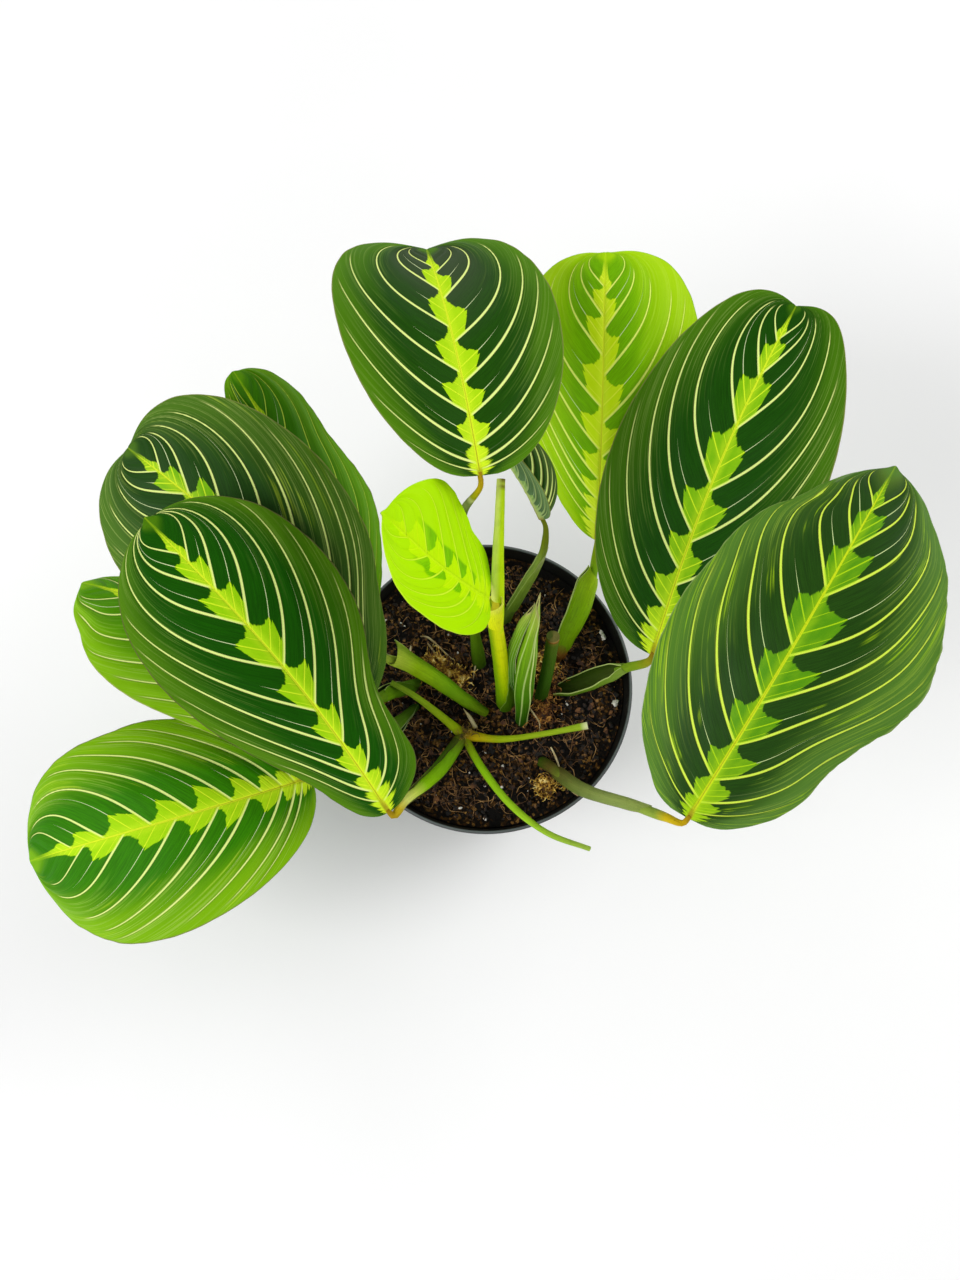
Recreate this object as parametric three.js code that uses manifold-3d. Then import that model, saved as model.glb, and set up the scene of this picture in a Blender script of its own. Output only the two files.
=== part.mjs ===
// A prayer plant (maranta) in its nursery pot: pot, potting soil, eleven leaf blades, the stalks
// that carry them, a creeping shoot with two bare twigs, a leaf still rolled up and a cut stump.
// Millimetres, +Z up. The origin is the centre of the pot's flat underside. The plant is looked
// at from -Y: +X is to the right and +Y is away from the viewer.
import * as THREE from 'three';
import { mergeVertices } from 'three/addons/utils/BufferGeometryUtils.js';
import Module from 'manifold-3d';

const wasm = await Module();
wasm.setup();

// ---------------------------------------------------------------- driving dimensions

const POT = {
  height: 100,
  rimRadius: 60,
  footRadius: 44,
  wall: 0.9,
  floorTop: 3.5,
  recess: 1.5,
  discRadius: 13,
  footRingInner: 38,
  lipHeight: 7,
  lipOut: 0.6,
  edge: 0.8, // rounding of the lip and the foot
  sides: 36,
};
const DRAIN = { count: 8, radius: 3.5, circle: 26, sides: 8 };

const SOIL = { top: 92, gap: 0.4, rings: [55, 44, 30, 15] };
// The waves that make the soil's top lumpy: height and crests per 2 pi mm along x and y.
const LUMPS = [
  { height: 1.0, x: 0.13, y: 0.0, shift: 1.0 },
  { height: 0.7, x: 0.05, y: 0.19, shift: -0.4 },
  { height: 0.45, x: 0.29, y: 0.21, shift: 0.0 },
  { height: 0.3, x: -0.17, y: 0.37, shift: 1.6 },
];
const LUMP_FLATTENING = 6; // how close to the wall the soil stays lumpy

const GAP = 0.35; // clearance wherever one piece stands in or against another

// Side veins leave each half of the midrib at places that crowd towards its foot and its tip, and
// run on towards the tip as they near the margin. Vein number v leaves it at share
// 1 / (1 + exp(-VEIN_CROWDING * (v - VEIN_MIDDLE))).
const VEINS = 9;
const VEIN_CROWDING = 0.7;
const VEIN_MIDDLE = 6; // the vein that leaves from the middle of the midrib
const VEIN_RUN = 2.65; // how far a side vein has run on at the margin
const VEIN_EARLY = { low: 0.45, high: 1.05 }; // share of that run that is even, at foot and tip
const VEIN_EASE = { from: 0.45, to: 0.9 }; // where along the midrib the one becomes the other
const VEIN_ROWS = [
  { from: -4, to: 0, step: 1 }, // the narrow foot
  { from: 0.5, to: VEINS, step: 0.5 }, // along each side vein and between two
  { from: 10, to: 12, step: 1 }, // the tip
];
const QUILT = 0.3; // height of the swell between two side veins
const QUILT_FROM = 0.5; // the blade is smooth below this vein number
const KEEL = 1.0; // midrib standing out below the blade
const KEEL_TAPER = 0.7; // how much lower the midrib is at the tip
const BLADE = 1.1; // blade thickness at the midrib
const BLADE_THINNING = 0.3; // how much thinner the blade is at its margin
const END_SHIFT = 4; // how closely shoulders and lobes keep to the tip and the foot
const COLUMNS = [-1, -0.68, -0.35, -0.06, 0, 0.06, 0.35, 0.68, 1]; // margin, midrib, margin

const STALK_SIDES = 8;
const STALK_STEPS = 10;
const JOINT_LENGTH = 3; // the swollen joint between stalk and blade
const JOINT_TURN = 0.25; // how far the joint still points the way its stalk comes
const SEAT_GAP = 0.8; // from the joint's end to the blade's foot

// ---------------------------------------------------------------- colours

const finish = (color, roughness) => new THREE.MeshStandardMaterial({ color, roughness, metalness: 0 });
const POT_BLACK = finish(0x2b2e2f, 0.5);
const SOIL_BROWN = finish(0x2c1c12, 0.95);
const LEAF_GREEN = finish(0x1f5a12, 0.45);
const LEAF_LIME = finish(0x8fd20c, 0.45);
const STALK_GREEN = finish(0x7da63a, 0.5);

// ---------------------------------------------------------------- the leaves
// base and tip are the two ends of the midrib and width is the blade's full width, in mm.
// roll and twist are degrees about the midrib. arch is the rise of the midrib over its chord,
// sweep its sideways bow; fold lifts both halves, dome lets them droop. widest is the place of
// the broadest part, baseFull and tipFull the fullness of the two ends, shoulder the notch at
// the tip and lobe the two lobes at the foot. Each dent narrows one half, or widens it where its
// depth is under 0: half is -1 or 1, at and spread are shares of the midrib.

const PLAIN_LEAF = {
  roll: 0, twist: 0, arch: 0.1, curl: 2.6, fold: 0, dome: 0.2, sweep: 0,
  widest: 0.55, baseFull: 1.9, tipFull: 2.3, shoulder: 0, lobe: 0, dents: [], color: LEAF_GREEN,
};

const LEAVES = {
  top: {
    base: [-2, 53, 205], tip: [-22, 150, 180], width: 79,
    roll: 12, twist: 4, arch: 0.17, curl: 2, fold: 0.12, dome: 0.06, sweep: -0.01,
    widest: 0.59, baseFull: 1.95, tipFull: 2.45, shoulder: 0.58, lobe: 0.11,
    dents: [{ half: -1, at: 0.1, depth: 0.04, spread: 0.15 }],
  },
  top_right: {
    base: [45, 57, 115], tip: [46, 157, 164], width: 71, color: LEAF_LIME,
    roll: -16, twist: -7, arch: 0.21, curl: 2.5, dome: 0.36, sweep: 0.03,
    widest: 0.62, baseFull: 1.5, tipFull: 2.65, shoulder: 0.46,
  },
  right: {
    base: [65, 8, 123], tip: [113, 126, 182], width: 83,
    roll: -19, twist: 4, arch: 0.1, fold: 0.15, dome: 0.07, sweep: -0.01,
    widest: 0.5, baseFull: 1.85, tipFull: 1.95, shoulder: 0.47,
    dents: [{ half: 1, at: 0.9, depth: 0.06, spread: 0.12 }],
  },
  low_right: {
    base: [71, -58, 160], tip: [142, 61, 190], width: 86,
    roll: -7, twist: 19, arch: 0.21, curl: 3.5, fold: -0.03, dome: 0.32, sweep: 0.01,
    widest: 0.52, baseFull: 2.05, tipFull: 1.95, shoulder: -0.06, lobe: 0.28,
    dents: [
      { half: -1, at: 0.07, depth: 0.08, spread: 0.06 },
      { half: -1, at: 0.6, depth: 0.05, spread: 0.12 },
      { half: -1, at: 0.895, depth: 0.2, spread: 0.025 },
      { half: -1, at: 0.95, depth: -0.08, spread: 0.03 },
      { half: 1, at: 0.29, depth: 0.12, spread: 0.1 },
      { half: 1, at: 0.55, depth: -0.06, spread: 0.12 },
      { half: 1, at: 0.93, depth: 0.08, spread: 0.06 },
    ],
  },
  left_front: {
    base: [-37, -53, 122], tip: [-117, 42, 190], width: 76,
    roll: -2, twist: -6, arch: 0.04, curl: 3, fold: 0.03, dome: 0.27, sweep: 0.03,
    widest: 0.62, baseFull: 1.5, tipFull: 2.4, lobe: 0.21,
    dents: [
      { half: -1, at: 0.14, depth: 0.26, spread: 0.2 },
      { half: 1, at: 0.07, depth: -0.16, spread: 0.07 },
      { half: 1, at: 0.3, depth: 0.27, spread: 0.14 },
    ],
  },
  left: {
    base: [-46, -12, 125], tip: [-131, 76, 169], width: 84,
    roll: -5, twist: 25, arch: 0.18, fold: 0.05, dome: 0.23, sweep: 0.06,
    widest: 0.6, baseFull: 1.65, tipFull: 2.35, shoulder: 0.47,
    dents: [{ half: 1, at: 0.22, depth: 0.1, spread: 0.1 }],
  },
  left_back: {
    base: [-46, 9, 120], tip: [-95, 109, 162], width: 66,
    roll: 33, twist: 8, arch: 0.09, fold: 0.03, dome: 0.27,
    widest: 0.52, baseFull: 1.9, tipFull: 2.25, shoulder: 0.23,
    dents: [
      { half: 1, at: 0.05, depth: 0.35, spread: 0.1 },
      { half: 1, at: 0.42, depth: -0.12, spread: 0.12 },
      { half: 1, at: 0.72, depth: 0.12, spread: 0.1 },
      { half: -1, at: 0.92, depth: 0.55, spread: 0.22 },
    ],
  },
  left_under: {
    base: [-66, -26, 110], tip: [-164, 41, 109], width: 69,
    roll: 23, twist: -15, arch: 0.21, curl: 2.5, dome: 0.37, sweep: 0.04,
    widest: 0.59, baseFull: 1.5, tipFull: 2.2,
    dents: [
      { half: -1, at: 0.92, depth: 0.12, spread: 0.06 },
      { half: 1, at: 0.88, depth: 0.25, spread: 0.15 },
    ],
  },
  low_left: {
    base: [-69, -38, 106], tip: [-186, -70, 84], width: 87,
    twist: 16, arch: 0.22, curl: 2.9, fold: 0.05, dome: 0.23, sweep: -0.02,
    widest: 0.55, baseFull: 1.8, tipFull: 2.3, shoulder: 0.15, lobe: 0.1,
    dents: [{ half: 1, at: 0.65, depth: 0.05, spread: 0.15 }],
  },
  young: {
    base: [1, 16, 182], tip: [-33, 35, 220], width: 50, color: LEAF_LIME,
    roll: 28, twist: 5, arch: 0.02, curl: 3, fold: 0.2, dome: 0.05, sweep: -0.05,
    widest: 0.58, baseFull: 1.9, tipFull: 2.4, lobe: 0.1,
    dents: [
      { half: -1, at: 0.95, depth: 0.2, spread: 0.12 },
      { half: 1, at: 0.27, depth: 0.08, spread: 0.1 },
      { half: 1, at: 0.75, depth: -0.11, spread: 0.2 },
    ],
  },
  folded: {
    base: [21, 50, 167], tip: [0, 74, 187], width: 18,
    roll: 48, arch: 0.08, fold: 1.2, dome: 0.15,
    widest: 0.5, baseFull: 2, tipFull: 2,
  },
};

// ---------------------------------------------------------------- the stalks
// Each stalk is a run of points from its root in the soil, with the radius at even steps along
// it. A stalk that carries a blade ends in a swollen joint seated at the blade's foot.

const STALKS = {
  top: {
    points: [[-2, 9, 78], [-3, 12, 102], [-6, 25, 146], [-8, 38, 170], [-8, 46, 187]],
    radii: [3.2, 2.8, 2.0, 1.4, 1.3, 1.7],
  },
  top_right: {
    points: [[29, 10, 78], [31, 15, 95], [37, 28, 103], [43, 41, 109]],
    radii: [2.2, 3.0, 4.2, 4.6, 3.0, 1.8],
  },
  right: {
    points: [[26, 0, 78], [31, -1, 96], [43, 3, 104], [55, 4, 113]],
    radii: [2.4, 2.8, 4.4, 4.4, 2.6, 1.8],
  },
  low_right: {
    points: [[20, -27, 78], [26, -33, 99], [36, -43, 112], [53, -51, 136], [64, -57, 153]],
    radii: [2.6, 2.4, 2.2, 2.0, 1.9, 2.2],
  },
  left: {
    points: [[-25, 6, 78], [-29, 2, 93], [-37, -2, 100], [-43, -8, 112]],
    radii: [3.0, 3.2, 3.4, 3.0, 2.2, 1.8],
  },
  left_back: {
    points: [[-2, -9, 79], [-4, -7, 95], [-17, 0, 106], [-31, 6, 115], [-39, 8, 118]],
    radii: [2.8, 3.0, 3.2, 3.6, 4.0, 1.6],
  },
  left_under: {
    points: [[-44, -8, 78], [-46, -12, 95], [-54, -19, 105]],
    radii: [2.4, 2.4, 2.2, 2.0, 1.8, 2.0],
  },
  low_left: {
    points: [[-27, -5, 78], [-30, -9, 94], [-40, -22, 101], [-54, -32, 104]],
    radii: [2.2, 2.6, 3.4, 3.0, 2.0, 2.0],
  },
  folded: {
    points: [[6, 26, 78], [9, 30, 96], [16, 37, 122], [21, 42, 144], [22, 45, 158]],
    radii: [2.4, 2.2, 1.9, 1.7, 1.6, 1.7],
  },
};

// The centre stem carries the young leaf and goes on above it as a thin stump, cut off.
const CENTRE_STEM = {
  points: [[8, -9, 78], [8, -4, 98], [5, 6, 142], [2, 15, 177]],
  radii: [3.8, 3.8, 3.4, 3.0, 2.8, 2.6],
};
const CENTRE_STUMP = {
  points: [[4, 10, 160], [4, 19, 177], [4, 30, 185], [4.5, 43, 190], [5, 56, 193]],
  radii: [2.2, 2.4, 2.3, 2.0, 1.7, 1.5],
};

// The creeping shoot lies on the soil. From one knot grow the stalk of the left front leaf, a
// thin shoot beside it, a cut twig and a bare runner that ends beyond the rim.
const KNOT = { at: [-9, -20, 97.5], radius: 4.2 };
const CREEPING_ROOT = { points: [[-9, -20, 80], [-9, -20, 97]], radii: [1.6, 2.2] };
const CREEPING_STALK = {
  points: [[-9, -20, 98], [-18, -34, 103], [-26, -43, 111], [-32, -49, 118]],
  radii: [2.6, 2.9, 3.0, 2.6, 1.9, 2.1],
};
const CREEPING_SHOOT = {
  points: [[-9, -20, 98], [-18, -13, 103], [-29, -5, 106], [-38, 0, 107]],
  radii: [2.2, 1.6, 1.3, 1.1],
};
const CUT_TWIG = {
  points: [[-9, -20, 98], [6, -22, 100], [24, -20, 102], [41, -17, 104]],
  radii: [2.4, 1.5, 1.2, 1.2, 1.5],
};
const RUNNER = {
  points: [[-9, -20, 98], [-2, -33, 101], [10, -49, 107], [24, -60, 109], [41, -66, 104]],
  radii: [1.6, 1.7, 1.6, 1.3, 1.1],
};

const ROLLED_LEAF = {
  points: [[15, -16, 78], [15, -12, 96], [16, 5, 140], [19, 20, 175]],
  radii: [2.2, 3.6, 5.2, 4.8, 2.8, 0.5],
};
const STUMP = {
  points: [[21, -9, 78], [23, -3, 96], [25, 6, 114], [26, 14, 131]],
  radii: [2.8, 2.7, 2.6, 2.6],
};

// ---------------------------------------------------------------- closed bodies

const vec = (xyz) => new THREE.Vector3(...xyz);

// Position-only, shared corners: the form in which solids are joined and cut.
function weld(geometry) {
  const bare = geometry.clone();
  bare.deleteAttribute('normal');
  bare.deleteAttribute('uv');
  return mergeVertices(bare, 1e-4);
}

function toSolid(geometry) {
  const welded = weld(geometry);
  const numbers = welded.getIndex().array;
  const triangles = [];
  for (let i = 0; i < numbers.length; i += 3) {
    const [a, b, c] = numbers.slice(i, i + 3);
    if (a !== b && b !== c && c !== a) triangles.push(a, b, c);
  }
  return new wasm.Manifold(new wasm.Mesh({
    numProp: 3,
    vertProperties: new Float32Array(welded.getAttribute('position').array),
    triVerts: new Uint32Array(triangles),
  }));
}

function toGeometry(solid) {
  const mesh = solid.getMesh();
  const geometry = new THREE.BufferGeometry();
  geometry.setAttribute('position', new THREE.BufferAttribute(new Float32Array(mesh.vertProperties), 3));
  geometry.setIndex(new THREE.BufferAttribute(new Uint32Array(mesh.triVerts), 1));
  geometry.computeVertexNormals();
  return geometry;
}

const join = (solids) => solids.reduce((whole, solid) => whole.add(solid));

// ---------------------------------------------------------------- pot and soil

// Inner radius of the pot's tapering wall at height z.
function wallInside(z) {
  const taper = (POT.rimRadius - POT.lipOut - POT.footRadius) / POT.height;
  return POT.footRadius + taper * z - POT.wall;
}

function potGeometry() {
  const lipBottom = POT.height - POT.lipHeight;
  const { edge } = POT;
  const slope = edge / 2;
  const profile = [
    [0, 0], // centre disc, flush with the foot ring
    [POT.discRadius, 0],
    [POT.discRadius + 1, POT.recess],
    [POT.footRingInner - 1, POT.recess],
    [POT.footRingInner, 0],
    [POT.footRadius - edge, 0],
    [POT.footRadius, edge],
    [wallInside(lipBottom) + POT.wall, lipBottom],
    [POT.rimRadius - slope, lipBottom + edge],
    [POT.rimRadius, POT.height - edge],
    [POT.rimRadius - edge, POT.height],
    [wallInside(POT.height) + slope, POT.height],
    [wallInside(POT.height), POT.height - edge],
    [wallInside(POT.floorTop), POT.floorTop],
    [0, POT.floorTop],
  ];
  const lathe = new THREE.LatheGeometry(profile.map(([r, z]) => new THREE.Vector2(r, z)), POT.sides);
  lathe.rotateX(Math.PI / 2);
  const holes = [];
  for (let i = 0; i < DRAIN.count; i++) {
    const turn = (i + 0.5) * 2 * Math.PI / DRAIN.count;
    const hole = new THREE.CylinderGeometry(DRAIN.radius, DRAIN.radius, 4 * POT.floorTop, DRAIN.sides);
    hole.rotateX(Math.PI / 2);
    hole.translate(DRAIN.circle * Math.cos(turn), DRAIN.circle * Math.sin(turn), 0);
    holes.push(toSolid(hole));
  }
  return toGeometry(toSolid(lathe).subtract(join(holes)));
}

// Height of the soil's crumbly top over its mean level: flat against the wall, lumpy inside.
function soilLump(x, y) {
  const inside = 1 - (Math.hypot(x, y) / wallInside(SOIL.top)) ** LUMP_FLATTENING;
  const waves = LUMPS.map((wave) => wave.height * Math.sin(wave.x * x + wave.y * y + wave.shift));
  return inside * waves.reduce((sum, wave) => sum + wave);
}

function soilSolid() {
  const bottom = POT.floorTop + SOIL.gap;
  const profile = [
    [0, bottom],
    [wallInside(bottom) - SOIL.gap, bottom],
    [wallInside(SOIL.top) - SOIL.gap, SOIL.top],
    ...SOIL.rings.map((r) => [r, SOIL.top]),
    [0, SOIL.top],
  ];
  const lathe = new THREE.LatheGeometry(profile.map(([r, z]) => new THREE.Vector2(r, z)), POT.sides);
  lathe.rotateX(Math.PI / 2);
  const places = lathe.getAttribute('position');
  for (let i = 0; i < places.count; i++) {
    const z = places.getZ(i);
    if (z > SOIL.top - 1) places.setZ(i, z + soilLump(places.getX(i), places.getY(i)));
  }
  return toSolid(lathe);
}

// ---------------------------------------------------------------- stalks

// The radius at share t of a stalk's length, smoothly between the listed ones.
function radiusAt(radii, t) {
  const place = t * (radii.length - 1);
  const i = Math.min(Math.floor(place), radii.length - 2);
  return THREE.MathUtils.lerp(radii[i], radii[i + 1], THREE.MathUtils.smoothstep(place - i, 0, 1));
}

// A closed round stalk along a smooth curve: a cylinder bent to it, with its ends closed.
function stalkGeometry({ points, radii }, extra = 0) {
  const curve = new THREE.CatmullRomCurve3(points.map(vec));
  const frames = curve.computeFrenetFrames(STALK_STEPS);
  const geometry = new THREE.CylinderGeometry(1, 1, 1, STALK_SIDES, STALK_STEPS);
  const places = geometry.getAttribute('position');
  for (let i = 0; i < places.count; i++) {
    const t = places.getY(i) + 0.5;
    const step = Math.round(t * STALK_STEPS);
    const radius = radiusAt(radii, t) + extra;
    const place = curve.getPointAt(t)
      .addScaledVector(frames.normals[step], places.getX(i) * radius)
      .addScaledVector(frames.binormals[step], -places.getZ(i) * radius);
    places.setXYZ(i, place.x, place.y, place.z);
  }
  return geometry;
}

const stalkSolid = (stalk) => toSolid(stalkGeometry(stalk));

// The plain hole that a stalk stands in: the stalk's own shape, wider and deeper by the gap.
function socketSolid({ points, radii }) {
  const [root, next] = points.slice(0, 2).map(vec);
  const deeper = root.clone().add(root.clone().sub(next).setLength(GAP));
  return toSolid(stalkGeometry({ points: [deeper.toArray(), ...points.slice(1)], radii }, GAP));
}

// ---------------------------------------------------------------- blades

// The midrib's curve and the two directions square to it, at share s from foot to tip.
function midribFrame(leaf, s) {
  const base = vec(leaf.base);
  const chord = vec(leaf.tip).sub(base);
  const length = chord.length();
  const along = chord.clone().normalize();
  const up = new THREE.Vector3(0, 0, 1).addScaledVector(along, -along.z).normalize();
  const side = along.clone().cross(up);
  const roll = THREE.MathUtils.degToRad(leaf.roll);
  const upRolled = up.clone().multiplyScalar(Math.cos(roll)).addScaledVector(side, Math.sin(roll));
  const sideRolled = side.clone().multiplyScalar(Math.cos(roll)).addScaledVector(up, -Math.sin(roll));
  const BASE_RISE = 2;
  const centre = (t) => {
    const hump = (1 - t ** leaf.curl) * (1 - (1 - t) ** BASE_RISE);
    return base.clone().addScaledVector(chord, t)
      .addScaledVector(upRolled, hump * leaf.arch * length)
      .addScaledVector(sideRolled, leaf.sweep * length * Math.sin(Math.PI * t));
  };
  const STEP = 0.01;
  const before = Math.max(s - STEP, 0);
  const tangent = centre(Math.min(s + STEP, 1)).sub(centre(before)).normalize();
  const level = sideRolled.clone().addScaledVector(tangent, -tangent.dot(sideRolled)).normalize();
  const square = level.clone().cross(tangent);
  const twist = THREE.MathUtils.degToRad(leaf.twist) * (s - 0.5);
  const across = level.clone().multiplyScalar(Math.cos(twist)).addScaledVector(square, Math.sin(twist));
  return { centre: centre(s), tangent, across, normal: across.clone().cross(tangent) };
}

// Half the blade's width at share s of the midrib, on the half of w's sign.
function halfWidth(leaf, s, w) {
  const nearBase = s < leaf.widest;
  const away = nearBase ? (leaf.widest - s) / leaf.widest : (s - leaf.widest) / (1 - leaf.widest);
  const round = Math.sqrt(Math.max(1 - away ** (nearBase ? leaf.baseFull : leaf.tipFull), 0));
  const dents = leaf.dents.filter(({ half }) => half === Math.sign(w));
  const narrowed = dents.map(({ at, depth, spread }) => depth * Math.exp(-(((s - at) / spread) ** 2)));
  return leaf.width / 2 * round * narrowed.reduce((left, dent) => left - dent, 1);
}

// A point of the blade's middle surface: s runs from foot to tip, w from margin to margin.
function bladePoint(leaf, s, w) {
  const { centre, tangent, across, normal } = midribFrame(leaf, s);
  const half = halfWidth(leaf, s, w);
  const shift = leaf.shoulder * s ** END_SHIFT - leaf.lobe * (1 - s) ** END_SHIFT;
  return centre
    .addScaledVector(across, w * half)
    .addScaledVector(normal, half * (leaf.fold * Math.abs(w) - leaf.dome * w * w))
    .addScaledVector(tangent, half * w * w * shift);
}

// The blade's upward normal there.
function bladeNormal(leaf, s, w) {
  const STEP = 0.02;
  const t = THREE.MathUtils.clamp(s, 2 * STEP, 1 - 2 * STEP);
  const v = THREE.MathUtils.clamp(w, STEP - 1, 1 - STEP);
  const along = bladePoint(leaf, t + STEP, v).sub(bladePoint(leaf, t - STEP, v));
  const across = bladePoint(leaf, t, v + STEP).sub(bladePoint(leaf, t, v - STEP));
  return across.cross(along).normalize();
}

// Where the line that leaves the midrib at share start has got to, at share w of the half width.
function veinRun(start, w) {
  const reach = Math.abs(w);
  const nearTip = THREE.MathUtils.smoothstep(start, VEIN_EASE.from, VEIN_EASE.to);
  const even = THREE.MathUtils.lerp(VEIN_EARLY.low, VEIN_EARLY.high, nearTip);
  const run = Math.exp(VEIN_RUN * (even * reach + (1 - even) * reach ** 3));
  return start * run / (1 - start + start * run);
}

// The rows of the blade's mesh lie along the side veins and between them. Each has the share of
// the midrib that it starts from and how much the blade swells along it.
function veinRows() {
  const rows = [{ start: 0, swell: 0 }];
  for (const { from, to, step } of VEIN_ROWS) {
    for (let v = from; v <= to; v += step) {
      const start = 1 / (1 + Math.exp(-VEIN_CROWDING * (v - VEIN_MIDDLE)));
      const quilted = v >= QUILT_FROM && v <= VEINS;
      rows.push({ start, swell: quilted ? -QUILT * Math.cos(2 * Math.PI * v) : 0 });
    }
  }
  return [...rows, { start: 1, swell: 0 }];
}

// Both faces share one pattern of triangles. The rows at foot and tip shrink to a single point.
function bladeGeometry(leaf) {
  const rows = veinRows();
  const faces = { top: [], bottom: [] };
  const places = [];
  const addPoint = (row, w, isTop) => {
    const s = veinRun(row.start, w);
    const normal = bladeNormal(leaf, s, w);
    const swell = row.swell * Math.sin(Math.PI * Math.abs(w));
    const thickness = BLADE - BLADE_THINNING * Math.abs(w);
    const keel = w === 0 ? KEEL * (1 - KEEL_TAPER * s) : 0;
    const offset = isTop ? swell : swell - thickness - keel;
    const place = bladePoint(leaf, s, w).addScaledVector(normal, offset);
    places.push(place.x, place.y, place.z);
    return places.length / 3 - 1;
  };
  for (const [side, grid] of Object.entries(faces)) {
    rows.forEach((row, i) => {
      const isEnd = i === 0 || i === rows.length - 1;
      const endPoint = isEnd ? addPoint(row, 0, side === 'top') : null;
      grid.push(COLUMNS.map((w) => (isEnd ? endPoint : addPoint(row, w, side === 'top'))));
    });
  }
  const triangles = [];
  const addTriangle = (a, b, c) => {
    if (a !== b && b !== c && c !== a) triangles.push(a, b, c);
  };
  const { top, bottom } = faces;
  const lastColumn = COLUMNS.length - 1;
  for (let i = 0; i < rows.length - 1; i++) {
    for (let j = 0; j < lastColumn; j++) {
      const k = j + 1;
      addTriangle(top[i][j], top[i][k], top[i + 1][k]);
      addTriangle(top[i][j], top[i + 1][k], top[i + 1][j]);
      addTriangle(bottom[i][j], bottom[i + 1][k], bottom[i][k]);
      addTriangle(bottom[i][j], bottom[i + 1][j], bottom[i + 1][k]);
    }
    addTriangle(top[i][0], top[i + 1][0], bottom[i + 1][0]);
    addTriangle(top[i][0], bottom[i + 1][0], bottom[i][0]);
    addTriangle(top[i][lastColumn], bottom[i + 1][lastColumn], top[i + 1][lastColumn]);
    addTriangle(top[i][lastColumn], bottom[i][lastColumn], bottom[i + 1][lastColumn]);
  }
  const geometry = new THREE.BufferGeometry();
  geometry.setAttribute('position', new THREE.Float32BufferAttribute(places, 3));
  geometry.setIndex(triangles);
  geometry.computeVertexNormals();
  return geometry;
}

// The last two points of a leaf's stalk: the joint bends from the stalk's own direction towards
// the midrib's and ends a gap short of the blade's foot.
function jointOf(leaf, stalkEnd) {
  const { centre, tangent, normal } = midribFrame(leaf, 0);
  const under = centre.addScaledVector(normal, -BLADE / 2);
  const coming = under.clone().sub(vec(stalkEnd)).normalize();
  const heading = tangent.lerp(coming, JOINT_TURN).normalize();
  return [JOINT_LENGTH, SEAT_GAP].map((back) => under.clone().addScaledVector(heading, -back).toArray());
}

// ---------------------------------------------------------------- the whole plant

const plant = new THREE.Group();

function place(name, geometry, material) {
  const mesh = new THREE.Mesh(geometry, material);
  mesh.name = name;
  plant.add(mesh);
}

const leaves = {};
for (const [name, leaf] of Object.entries(LEAVES)) leaves[name] = { ...PLAIN_LEAF, ...leaf };

const rooted = []; // every stalk that stands in the soil

for (const [name, { points, radii }] of Object.entries(STALKS)) {
  const stalk = { points: [...points, ...jointOf(leaves[name], points.at(-1))], radii };
  rooted.push(stalk);
  place(`stalk_${name}`, stalkGeometry(stalk), STALK_GREEN);
}

rooted.push(CENTRE_STEM, CREEPING_ROOT, ROLLED_LEAF, STUMP);
place('stem_centre', toGeometry(join([CENTRE_STEM, CENTRE_STUMP].map(stalkSolid))), STALK_GREEN);

const creepingStalk = {
  ...CREEPING_STALK,
  points: [...CREEPING_STALK.points, ...jointOf(leaves.left_front, CREEPING_STALK.points.at(-1))],
};
const knot = new THREE.SphereGeometry(KNOT.radius, STALK_SIDES, STALK_SIDES / 2).translate(...KNOT.at);
const creepers = [CREEPING_ROOT, creepingStalk, CREEPING_SHOOT, CUT_TWIG, RUNNER].map(stalkSolid);
place('creeping_shoot', toGeometry(join([toSolid(knot), ...creepers])), STALK_GREEN);

place('leaf_rolled', stalkGeometry(ROLLED_LEAF), LEAF_GREEN);
place('stem_stump', stalkGeometry(STUMP), STALK_GREEN);

for (const [name, leaf] of Object.entries(leaves)) place(`leaf_${name}`, bladeGeometry(leaf), leaf.color);

place('pot', potGeometry(), POT_BLACK);
place('soil', toGeometry(soilSolid().subtract(join(rooted.map(socketSolid)))), SOIL_BROWN);

export default plant;
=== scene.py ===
"""A prayer plant in its nursery pot: jagged lime feathers and cream side veins on dark leaves.

The blades follow the same few numbers as the part's own: base, tip, width and the way each one
arches, rolls and droops. Every blade carries a UV map named "veins", whose first number counts
the side veins from foot to tip and whose second runs from margin to margin, so its markings are
drawn along the real veins. Stalks and sheaths carry a UV map named "run", around and along.
Sizes are millimetres in the tables and metres in the scene.
"""

import math
import random
from types import SimpleNamespace

import bmesh
import bpy
import numpy as np
from mathutils import Matrix, Vector, noise


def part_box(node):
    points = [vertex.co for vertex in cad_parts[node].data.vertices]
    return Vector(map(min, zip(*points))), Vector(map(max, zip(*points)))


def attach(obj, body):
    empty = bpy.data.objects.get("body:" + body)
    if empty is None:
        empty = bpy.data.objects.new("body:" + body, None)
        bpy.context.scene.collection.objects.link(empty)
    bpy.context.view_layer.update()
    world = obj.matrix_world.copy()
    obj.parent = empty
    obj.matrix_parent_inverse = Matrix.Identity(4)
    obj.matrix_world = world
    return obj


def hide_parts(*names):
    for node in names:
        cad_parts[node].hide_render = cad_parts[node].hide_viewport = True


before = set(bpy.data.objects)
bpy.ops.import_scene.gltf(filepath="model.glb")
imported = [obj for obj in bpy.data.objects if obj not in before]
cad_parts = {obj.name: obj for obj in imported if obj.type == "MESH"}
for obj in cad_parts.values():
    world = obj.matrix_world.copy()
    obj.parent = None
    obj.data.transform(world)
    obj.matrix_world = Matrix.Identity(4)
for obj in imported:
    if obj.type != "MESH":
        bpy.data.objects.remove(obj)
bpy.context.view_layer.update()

MM = 0.001
rng = random.Random(7)

# ---------------------------------------------------------------- sizes

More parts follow.
